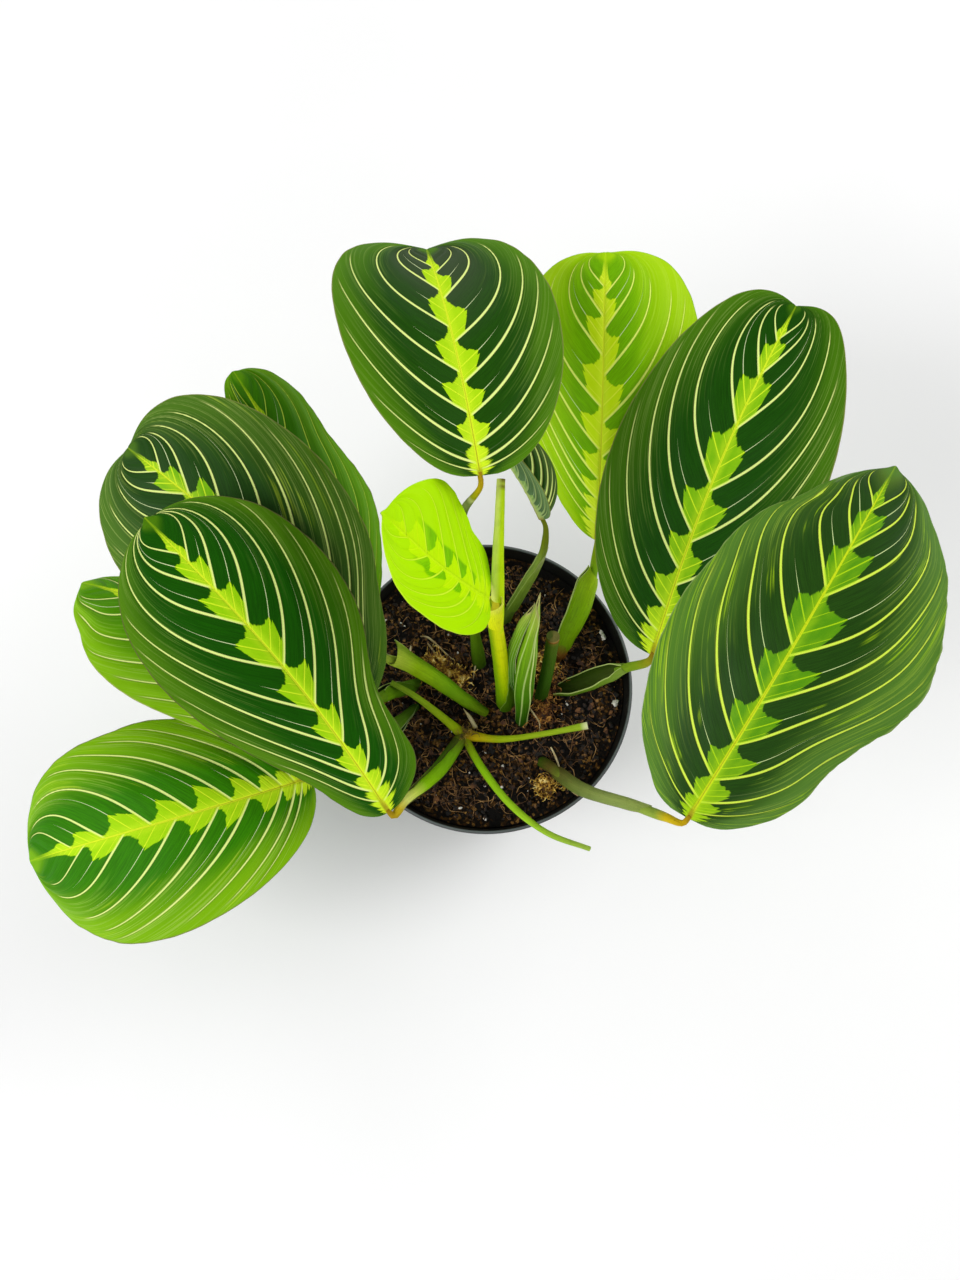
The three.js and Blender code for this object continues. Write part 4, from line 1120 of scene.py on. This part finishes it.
def leaf_stalks():
    for name, given in STALKS.items():
        route = {**given, "points": [*given["points"], *joint_of(name, given["points"][-1])]}
        stalk("petiole_" + name, ["stalk_" + name], seed=float(LEAVES[name]["seed"]), shade=(50, 84, 8),
              shade_share=0.3, **route)
    sheath("sheath_top_right", [(0, (110, 64, 24)), (0.08, (140, 96, 30)), (0.15, (112, 152, 6)),
                                (0.6, (122, 168, 4)), (1, (150, 184, 20))],
           points=[(31, 14, 92), (33, 20, 98), (38, 30, 104), (42, 42, 109), (44, 47, 111)],
           radii=[2.4, 3.7, 4.3, 4.6, 4.4, 2.6], opening=[-4, -4, -2, 0, 6, 40], facing=(-0.8, 0.5, 0.25),
           tip=-0.1, wrap=0.05, inside=0.8, marks={"specks": 0.6, "fibres": 0.7})
    sheath("sheath_right", [(0, (84, 116, 20)), (0.5, (112, 150, 34)), (1, (136, 164, 60))],
           points=[(28, -1.5, 95), (35, 0, 98), (46, 3, 105), (56.5, 5.2, 112)],
           radii=[2.2, 4.0, 4.4, 3.8, 2.0], opening=[64, 78, 78, 60, 10], facing=(-0.25, 0.35, 1), tip=0.05,
           edge=(188, 206, 120), inside=0.55, replaced=["stalk_right"])
    sheath("sheath_low_right", [(0, (76, 66, 26)), (0.25, (112, 124, 56)), (0.6, (142, 158, 84)),
                                (1, (152, 170, 84))],
           points=[(29, -36, 102), (37.5, -43.5, 113.6), (53, -51, 135.6), (60, -54.5, 146.6)],
           radii=[2.9, 2.8, 2.5, 2.4, 2.1], opening=[50, 40, 34, 40, 70], facing=(0.35, -1, 0.1), tip=0.1,
           edge=(84, 54, 24), inside=0.35, marks={"specks": 0.5})
    sheath("sheath_left_back", [(0, (104, 134, 16)), (0.45, (108, 156, 8)), (0.8, (156, 196, 14)),
                                (1, (196, 216, 70))],
           points=[(0, -10, 92), (-8, -6, 99), (-20, 1.5, 107), (-39, 11.7, 116)],
           radii=[2.0, 2.8, 3.4, 3.8, 5.2], opening=[2, 4, 10, 36, 64], facing=(0.5, 0.6, -0.7), tip=-0.09,
           edge=(206, 214, 140), inside=0.75, shade=(46, 92, 4), shade_share=0.6)
    sheath("sheath_left", [(0, (58, 92, 10)), (0.5, (90, 136, 14)), (1, (120, 166, 18))],
           points=[(-28, 0, 93), (-31, -1, 97), (-37, -2, 101), (-43, -6, 108)],
           radii=[0.5, 2.4, 3.3, 3.4, 3.0], opening=[4, 6, 10, 20, 40], facing=(0.2, 1, 0.1), tip=0.1)
    sheath("sheath_low_left", [(0, (60, 88, 14)), (0.5, (84, 122, 18)), (1, (106, 142, 26))],
           points=[(-28, -7, 94), (-32, -12, 98), (-39, -20, 102), (-47, -27, 103)],
           radii=[0.4, 2.2, 3.6, 3.8, 2.8], opening=[6, 10, 20, 30, 50], facing=(0.9, -0.3, 0.3), tip=0.1,
           edge=(150, 166, 110))
    sheath("sheath_folded", [(0, (104, 134, 36)), (0.7, (136, 162, 60)), (1, (190, 194, 130))],
           points=[(11, 32, 104), (16, 37, 122), (20, 41, 138), (22, 44, 150)],
           radii=[2.5, 2.4, 2.3, 1.9, 1.6], opening=[20, 26, 34, 60, 120], facing=(-1, -0.2, 0.4), tip=0.1,
           edge=(160, 178, 96), inside=0.7)


# ---------------------------------------------------------------- centre stem, stumps, shoot

CENTRE_STEM = dict(points=[(8, -9, 78), (8, -4, 98), (5, 6, 142), (2, 15, 177)],
                   radii=[3.8, 3.8, 3.4, 3.0, 2.8, 2.6])
CENTRE_STUMP = dict(points=[(4, 10, 160), (4, 19, 177), (4, 30, 185), (4.5, 43, 190), (5, 56, 193)],
                    radii=[2.2, 2.4, 2.3, 2.0, 1.7, 1.5])
KNOT, KNOT_RADIUS = (-9, -20, 97.5), 4.2
CREEPING_STALK = dict(points=[(-9, -20, 98), (-18, -34, 103), (-26, -43, 111), (-32, -49, 118)],
                      radii=[2.6, 2.9, 3.0, 2.6, 1.9, 2.1])
CREEPING_SHOOT = dict(points=[(-9, -20, 98), (-18, -13, 103), (-29, -5, 106), (-38, 0, 107)],
                      radii=[2.2, 1.6, 1.3, 1.1])
CUT_TWIG = dict(points=[(-9, -20, 98), (6, -22, 100), (24, -20, 102), (41, -17, 104)],
                radii=[2.4, 1.5, 1.2, 1.2, 1.5])
RUNNER = dict(points=[(-9, -20, 98), (-2, -33, 101), (10, -49, 107), (24, -60, 109), (41, -66, 104)],
              radii=[1.6, 1.6, 1.45, 1.2, 1.0])
ROLLED_LEAF = dict(points=[(15, -16, 78), (15, -12, 96), (16, 5, 140), (19, 20, 175)],
                   radii=[2.2, 3.6, 5.2, 4.8, 2.8, 0.5])
STUMP = dict(points=[(21, -9, 78), (23, -3, 96), (25, 6, 114), (26, 14, 131)], radii=[2.8, 2.7, 2.6, 2.6])


def centre_stem():
    stalk("stem_centre_lower", ["stem_centre"], **CENTRE_STEM, facing=(1, -0.2, 0), shade=(98, 142, 4),
          shade_share=0.9, fibres=0.25,
          tones=[(0.16, (92, 120, 4)), (0.21, (96, 138, 4)), (0.35, (166, 196, 0)), (0.6, (206, 218, 0)),
                 (0.93, (222, 228, 8)), (1, (206, 196, 40))])
    # Its Shade colour is paler than its tone: a painted lit side.
    stalk("stem_centre_upper", [], **CENTRE_STUMP, facing=(1, -0.2, 0), shade=(226, 238, 120),
          shade_share=0.9, fibres=0.25,
          tones=[(0, (206, 230, 6)), (0.5, (186, 222, 6)), (0.93, (176, 210, 20)), (0.955, (120, 120, 30)),
                 (0.97, (176, 196, 60)), (1, (92, 66, 34))])
    sheath("stem_centre_sheath", [(0, (74, 112, 6)), (0.5, (92, 138, 8)), (1, (120, 160, 30))],
           points=[(7.9, -6, 92), (7.7, -3, 101), (6.6, 1, 120), (5.7, 4.5, 134)],
           radii=[4.2, 4.2, 3.9, 3.6, 3.4], opening=[60, 100, 120, 134, 150], facing=(-1, 0, 0), tip=0.12,
           edge=(128, 160, 60), wall=0.35)
    sheath("stem_centre_collar", [(0, (220, 226, 6)), (0.7, (216, 228, 20)), (1, (222, 226, 80))],
           points=[(3.2, 11, 166), (2.6, 13.5, 173), (2.4, 16, 180)], radii=[2.9, 3.2, 3.5],
           opening=[40, 50, 66], facing=(-0.8, 0.3, 0.6), tip=0.15, edge=(206, 196, 90), inside=0.95,
           shade=(206, 222, 10), wall=0.3)


def rolled_leaf():
    tones = [(0, (14, 44, 4)), (0.2, (34, 84, 4)), (0.45, (76, 130, 8)), (0.8, (126, 174, 22)),
             (0.96, (170, 196, 70)), (1, (196, 186, 120))]
    marks = {"lines": 9.0, "lines_share": 0.45, "fibres": 0.9, "seed": 4.0}
    sheath("rolled_leaf", tones, "leaf_dark", (206, 222, 140), ["leaf_rolled"], 0.45, marks=marks,
           points=ROLLED_LEAF["points"], radii=[1.9, 2.7, 3.9, 3.8, 2.3, 0.3],
           opening=[-70, -64, -46, -50, -80], facing=(-0.35, -1, 0), tip=0.12, wrap=0.16,
           columns=56, rows=64)
    sheath("rolled_leaf_lobe", tones, "leaf_dark", (196, 206, 150), (), 0.5, marks=marks,
           points=[(12.6, -6, 106), (11.4, 2, 126), (13, 10, 148), (17.2, 17.5, 170)],
           radii=[0.8, 3.0, 3.8, 2.8, 0.4], opening=[60, 96, 110, 100, 60], facing=(1, 0.1, -0.3), tip=-0.1,
           wall=0.35)


def cut_stump():
    stalk("stem_stump_side", ["stem_stump"], **STUMP, facing=(1, -0.3, 0), shade=(34, 70, 2),
          shade_share=0.7, tones=[(0.2, (44, 76, 8)), (0.6, (66, 106, 22)), (0.93, (84, 112, 24)),
                                  (0.962, (112, 120, 36)), (0.97, (120, 70, 24)), (0.978, (186, 130, 62)),
                                  (0.986, (150, 132, 70)), (1, (124, 118, 60))])


def creeping_shoot():
    end = CREEPING_STALK["points"][-1]
    stalk("creeping_stalk", ["creeping_shoot"], CREEPING_STALK["points"] + joint_of("left_front", end),
          CREEPING_STALK["radii"][:-1] + [1.9, 1.0],
          [(0.05, (90, 100, 20)), (0.2, (112, 164, 12)), (0.55, (140, 196, 8)), (0.68, (206, 222, 90)),
           (0.78, (214, 220, 110)), (0.86, (190, 168, 24)), (1, (150, 116, 16))],
          (0, 0, 1), shade=(104, 144, 20), shade_share=0.3)
    sheath("creeping_sheath", [(0, (76, 78, 26)), (0.4, (88, 132, 22)), (0.8, (150, 176, 60)),
                               (1, (206, 204, 130))],
           points=[(-11, -23, 99), (-18, -34, 103), (-25, -42, 110), (-31, -48, 116)],
           radii=[2.7, 3.2, 3.3, 2.9, 2.7], opening=[30, 60, 80, 96, 110], facing=(0.7, -0.1, 0.8), tip=-0.1,
           edge=(66, 62, 30))
    stalk("creeping_side_shoot", [], CREEPING_SHOOT["points"], CREEPING_SHOOT["radii"],
          [(0, (150, 140, 20)), (0.15, (158, 186, 10)), (1, (132, 166, 40))], (0, 0, 1))
    stalk("cut_twig", [], CUT_TWIG["points"], CUT_TWIG["radii"],
          [(0, (150, 110, 14)), (0.12, (186, 166, 10)), (0.3, (150, 174, 14)), (0.94, (156, 188, 40)),
           (0.975, (214, 222, 150)), (1, (222, 226, 176))], (0, 0, 1))
    stalk("runner", [], RUNNER["points"], RUNNER["radii"],
          [(0, (132, 136, 14)), (0.2, (128, 178, 10)), (0.6, (150, 196, 30)), (1, (158, 190, 70))],
          (0, 0, 1))


# ---------------------------------------------------------------- pot and soil

def wall_inside(z):
    taper = (RIM_RADIUS - LIP_OUT - FOOT_RADIUS) / POT_HEIGHT
    return FOOT_RADIUS + taper * z - WALL


def pot():
    lip_bottom, edge = POT_HEIGHT - LIP_HEIGHT, 0.8
    profile = [
        (0.01, 0), (DISC_RADIUS, 0), (DISC_RADIUS + 1, RECESS), (FOOT_RING_INNER - 1, RECESS),
        (FOOT_RING_INNER, 0), (FOOT_RADIUS - edge, 0), (FOOT_RADIUS, edge),
        (wall_inside(lip_bottom) + WALL, lip_bottom), (RIM_RADIUS - edge / 2, lip_bottom + edge),
        (RIM_RADIUS, POT_HEIGHT - edge), (RIM_RADIUS - edge, POT_HEIGHT),
        (wall_inside(POT_HEIGHT) + edge / 2, POT_HEIGHT), (wall_inside(POT_HEIGHT), POT_HEIGHT - edge),
        (wall_inside(FLOOR_TOP), FLOOR_TOP), (0.01, FLOOR_TOP),
    ]
    bm = bmesh.new()
    verts = [bm.verts.new((r * MM, 0, z * MM)) for r, z in profile]
    for pair in zip(verts, verts[1:]):
        bm.edges.new(pair)
    bmesh.ops.bevel(bm, geom=verts[1:-1], offset=0.28 * MM, segments=2, profile=0.5, affect="VERTICES",
                    material=-1)
    bmesh.ops.spin(bm, geom=bm.verts[:] + bm.edges[:], cent=(0, 0, 0), axis=(0, 0, 1), dvec=(0, 0, 0),
                   angle=2 * math.pi, steps=128, use_merge=True, use_duplicate=False)
    bmesh.ops.remove_doubles(bm, verts=bm.verts[:], dist=0.05 * MM)
    bmesh.ops.recalc_face_normals(bm, faces=bm.faces[:])
    made = piece(bm, "nursery_pot", [pot_finish()], ["pot"], sharp=40)
    cutter = bmesh.new()
    for i in range(DRAINS):
        turn = (i + 0.5) * 2 * math.pi / DRAINS
        place = Matrix.Translation(Vector((math.cos(turn), math.sin(turn), 0)) * DRAIN_CIRCLE * MM)
        bmesh.ops.create_cone(cutter, cap_ends=True, segments=28, radius1=DRAIN_RADIUS * MM,
                              radius2=DRAIN_RADIUS * MM, depth=14 * MM, matrix=place)
    data = bpy.data.meshes.new("drain_cutter")
    cutter.to_mesh(data)
    cutter.free()
    drains = bpy.data.objects.new("drain_cutter", data)
    bpy.context.scene.collection.objects.link(drains)
    cut = made.modifiers.new("drains", "BOOLEAN")
    cut.object, cut.operation, cut.solver = drains, "DIFFERENCE", "EXACT"
    bpy.context.view_layer.update()
    ready = made.evaluated_get(bpy.context.evaluated_depsgraph_get())
    made.data = bpy.data.meshes.new_from_object(ready)
    made.modifiers.clear()
    bpy.data.objects.remove(drains)


def soil_height(x, y):
    """Height of the soil's lumpy top at a place, in mm."""
    inside = 1 - np.minimum(np.hypot(x, y) / wall_inside(SOIL_TOP), 1) ** 6
    return SOIL_TOP + inside * sum(height * np.sin(wave_x * x + wave_y * y + shift)
                                   for height, wave_x, wave_y, shift in LUMPS)


def crumbs(x, y):
    """Crumbly relief: rounded cells of two sizes, in mm."""
    total = 0.0
    for size, height, seed in ((3.4, 1.5, 1.3), (1.5, 0.8, 4.1)):
        distances, _ = noise.voronoi(Vector((x / size + seed, y / size - seed, 0)))
        total += height * (0.6 - distances[0])
    return total


def soil():
    bm = bmesh.new()
    bmesh.ops.create_grid(bm, x_segments=280, y_segments=280, size=1)
    bm.verts.ensure_lookup_table()
    rim = wall_inside(SOIL_TOP) - SOIL_GAP
    for vert in bm.verts:
        x, y = vert.co.x, vert.co.y
        x, y = rim * x * math.sqrt(1 - y * y / 2), rim * y * math.sqrt(1 - x * x / 2)
        near_rim = 1 - (math.hypot(x, y) / rim) ** 20
        z = soil_height(x, y) + crumbs(x, y) * near_rim
        vert.co = Vector((x, y, z)) * MM
    boundary = [edge for edge in bm.edges if edge.is_boundary]
    bottom = FLOOR_TOP + SOIL_GAP
    foot = wall_inside(bottom) - SOIL_GAP
    walls = bmesh.ops.extrude_edge_only(bm, edges=boundary)["geom"]
    for vert in (item for item in walls if isinstance(item, bmesh.types.BMVert)):
        vert.co.x *= foot / rim
        vert.co.y *= foot / rim
        vert.co.z = bottom * MM
    bmesh.ops.holes_fill(bm, edges=[edge for edge in bm.edges if edge.is_boundary], sides=0)
    bmesh.ops.recalc_face_normals(bm, faces=bm.faces[:])
    piece(bm, "potting_mix", [soil_finish()], ["soil"], sharp=60)


def soil_place(margin):
    """A random place on the soil, even over its area."""
    turn, radius = rng.uniform(0, 2 * math.pi), math.sqrt(rng.random()) * (wall_inside(SOIL_TOP) - margin)
    return radius * math.cos(turn), radius * math.sin(turn)


def kept_inside(x, y, margin):
    """The same place, or the nearest one that is a margin from the pot's wall."""
    inward = min(1, (wall_inside(SOIL_TOP) - margin) / math.hypot(x, y))
    return x * inward, y * inward


def scatter(name, finish, count, size, squash, rise, roughen=0.25, clumps=None):
    """Small rough bits lying on the soil, each an icosphere pulled out of shape."""
    bm = bmesh.new()
    for _ in range(count):
        x, y = soil_place(ROOM_AT_WALL)
        if clumps:
            cx, cy, spread = rng.choice(clumps)
            x, y = kept_inside(cx + rng.gauss(0, spread), cy + rng.gauss(0, spread), BIT_ROOM_AT_WALL)
        radius = rng.uniform(*size)
        turn = Matrix.Rotation(rng.uniform(0, 6.3), 4, "Z") @ Matrix.Rotation(rng.uniform(-0.6, 0.6), 4, "X")
        shape = Matrix.Diagonal((rng.uniform(0.8, 1.5), rng.uniform(0.7, 1.1), squash, 1))
        place = Matrix.Translation(Vector((x, y, float(soil_height(x, y)) + rise * radius)) * MM)
        verts = bmesh.ops.create_icosphere(bm, subdivisions=1, radius=radius * MM,
                                           matrix=place @ turn @ shape)["verts"]
        for vert in verts:
            vert.co += Vector([rng.gauss(0, 1) for _ in range(3)]) * radius * roughen * 0.5 * MM
    piece(bm, name, [finish], sharp=30)


def strands(name, finish, count, length, radius, clumps=None, bend=0.5, rise=0.5):
    """Thin curved fibres lying on the soil or standing out of a clump."""
    bm = bmesh.new()
    for _ in range(count):
        if clumps:
            cx, cy, spread, cz = rng.choice(clumps)
            x, y = cx + rng.gauss(0, spread), cy + rng.gauss(0, spread)
        else:
            (x, y), cz = soil_place(8), None
        run, heading = rng.uniform(*length), rng.uniform(0, 2 * math.pi)
        points = []
        for i in range(5):
            z = float(soil_height(x, y)) if cz is None else cz
            lift = rise * (1 + math.sin(math.pi * i / 4) * rng.uniform(0.3, 1.4))
            points.append((x, y, z + lift + (rng.uniform(-1, 1) * rise if clumps else 0)))
            heading += rng.gauss(0, bend)
            dx, dy = run / 4 * math.cos(heading), run / 4 * math.sin(heading)
            x, y = kept_inside(x + dx, y + dy, ROOM_AT_WALL)
        size = rng.uniform(*radius)
        tube_bmesh(points, [size, size, size * 0.5], sides=5, spacing=run / 7, facing=(0.1, 0.2, 1), bm=bm)
    bmesh.ops.recalc_face_normals(bm, faces=bm.faces[:])
    piece(bm, name, [finish])


PALE_ROOTS = [
    [(12, -6, 94), (16.5, -8, 99), (20, -12, 99), (22, -15, 97), (22, -18, 93)],
    [(26.5, -25, 98), (28.5, -29.5, 98.5), (30, -34, 97), (31, -37, 94)],
    [(-27, 22, 93), (-24, 21, 96), (-20, 17.5, 97), (-17, 14.5, 97), (-13.5, 12, 94)],
    [(-24, 19, 93), (-21, 14, 97), (-21, 11, 94)],
    [(-31, 18, 93), (-31, 14, 97), (-29.5, 12, 94)],
    [(-2.5, 15.5, 96), (-4.5, 7, 97), (-5, 3.5, 94)],
]
OLD_SCALES = [
    [(-4, -17, 97), (-6.3, -13, 98.5), (-9, -9.5, 100)],
    [(33, -39, 99), (35, -43, 101), (37, -45, 100)],
]


def root_piece(name, finish, routes, radii):
    """Single roots or scales, each along its own route."""
    bm = bmesh.new()
    for route in routes:
        tube_bmesh(route, radii, sides=10, spacing=0.8, facing=(0.1, 0.2, 1), bm=bm)
    bmesh.ops.recalc_face_normals(bm, faces=bm.faces[:])
    piece(bm, name, [finish])


def dressing():
    """What lies on the soil: crumbs, perlite, bark, fine roots and tufts of old fibre."""
    crumb = bit_finish("peat_crumbs", [(0.4, (9, 6, 3)), (0.52, (34, 21, 8)), (0.6, (84, 54, 20)),
                                       (0.68, (150, 108, 52))], 420.0)
    scatter("peat_crumbs", crumb, 2600, (0.3, 1.05), 0.8, 0.55)
    perlite = bit_finish("perlite", [(0.3, (206, 200, 186)), (0.7, (250, 248, 240))], 200.0, 0.7)
    scatter("perlite", perlite, 60, (0.25, 0.7), 0.85, 0.9, 0.3)
    scatter("perlite_lumps", perlite, 5, (1.0, 1.4), 0.7, 0.8, 0.3,
            clumps=[(44, 12, 1), (54, -6, 1), (52, 24, 1), (47, -33, 1), (9, -49, 1)])
    bark = bit_finish("bark_bits", [(0.35, (34, 20, 11)), (0.5, (74, 44, 22)), (0.68, (132, 88, 44))], 300.0)
    scatter("bark_bits", bark, 150, (0.5, 1.4), 0.4, 0.7, 0.4)
    root = bit_finish("fine_roots", [(0.35, (58, 36, 16)), (0.5, (116, 78, 36)), (0.66, (196, 152, 92))],
                      160.0, 0.75, 0.05)
    strands("fine_roots", root, 420, (4, 13), (0.08, 0.17), bend=1.0)
    strands("long_roots", root, 46, (10, 24), (0.12, 0.2))
    moss = bit_finish("old_fibre", [(0.38, (70, 42, 8)), (0.48, (160, 112, 24)), (0.57, (224, 184, 70)),
                                    (0.68, (246, 226, 150))], 420.0)
    clumps = [(-20, 8, 2.6, 95.5), (-12, 3.5, 2.2, 95.5), (-17, 5, 2.6, 96), (24.5, 8.5, 2.0, 95),
              (24, -40.5, 1.4, 95.5)]
    strands("old_fibre", moss, 760, (2.5, 6.5), (0.14, 0.36), clumps=clumps, bend=1.2, rise=1.3)
    rust = bit_finish("rusty_fibre", [(0.38, (50, 26, 8)), (0.5, (128, 76, 24)), (0.62, (206, 150, 66))],
                      420.0)
    strands("rusty_fibre", rust, 260, (2.5, 6), (0.12, 0.28),
            clumps=[(26, 3, 2.6, 95), (24, -4, 2.4, 94.5), (23, -12, 2.2, 94)], bend=1.2, rise=1.0)
    knot = bit_finish("knot_fibre", [(0.34, (60, 42, 14)), (0.5, (128, 104, 20)), (0.64, (182, 152, 44))],
                      500.0)
    strands("knot_fibre", knot, 60, (2, 5), (0.1, 0.2),
            [(KNOT[0] + 1, KNOT[1], 1.4, KNOT[2] + 2.5), (31.5, -39, 1.2, 100)], bend=0.9, rise=0.9)
    pale = bit_finish("pale_roots", [(0.4, (160, 138, 90)), (0.6, (206, 192, 146))], 160.0, 0.7, 0.05)
    root_piece("pale_roots", pale, PALE_ROOTS, [0.3, 0.42, 0.34, 0.16])
    root_piece("old_scales", pale, OLD_SCALES, [0.9, 0.8, 0.15])
    shoot_knot(knot)


def shoot_knot(finish):
    """The lumpy knot that the creeping shoot grows from."""
    bm = bmesh.new()
    bmesh.ops.create_icosphere(bm, subdivisions=4, radius=1)
    for vert in bm.verts:
        out = vert.co.normalized()
        rough = 0.62 + 0.12 * math.sin(9 * out.x + 4 * out.z) * math.cos(8 * out.y + 2)
        vert.co = (Vector(KNOT) + out * KNOT_RADIUS * rough) * MM
    piece(bm, "shoot_knot", [finish], sharp=60)


# ---------------------------------------------------------------- the whole plant

set_camera()
set_studio()
for leaf_name in LEAVES:
    leaf_slot = "leaf_lime" if leaf_name in ("top_right", "young") else "leaf_dark"
    blade(leaf_name, leaf_finishes(leaf_name), leaf_slot)
leaf_stalks()
centre_stem()
rolled_leaf()
cut_stump()
creeping_shoot()
pot()
soil()
dressing()
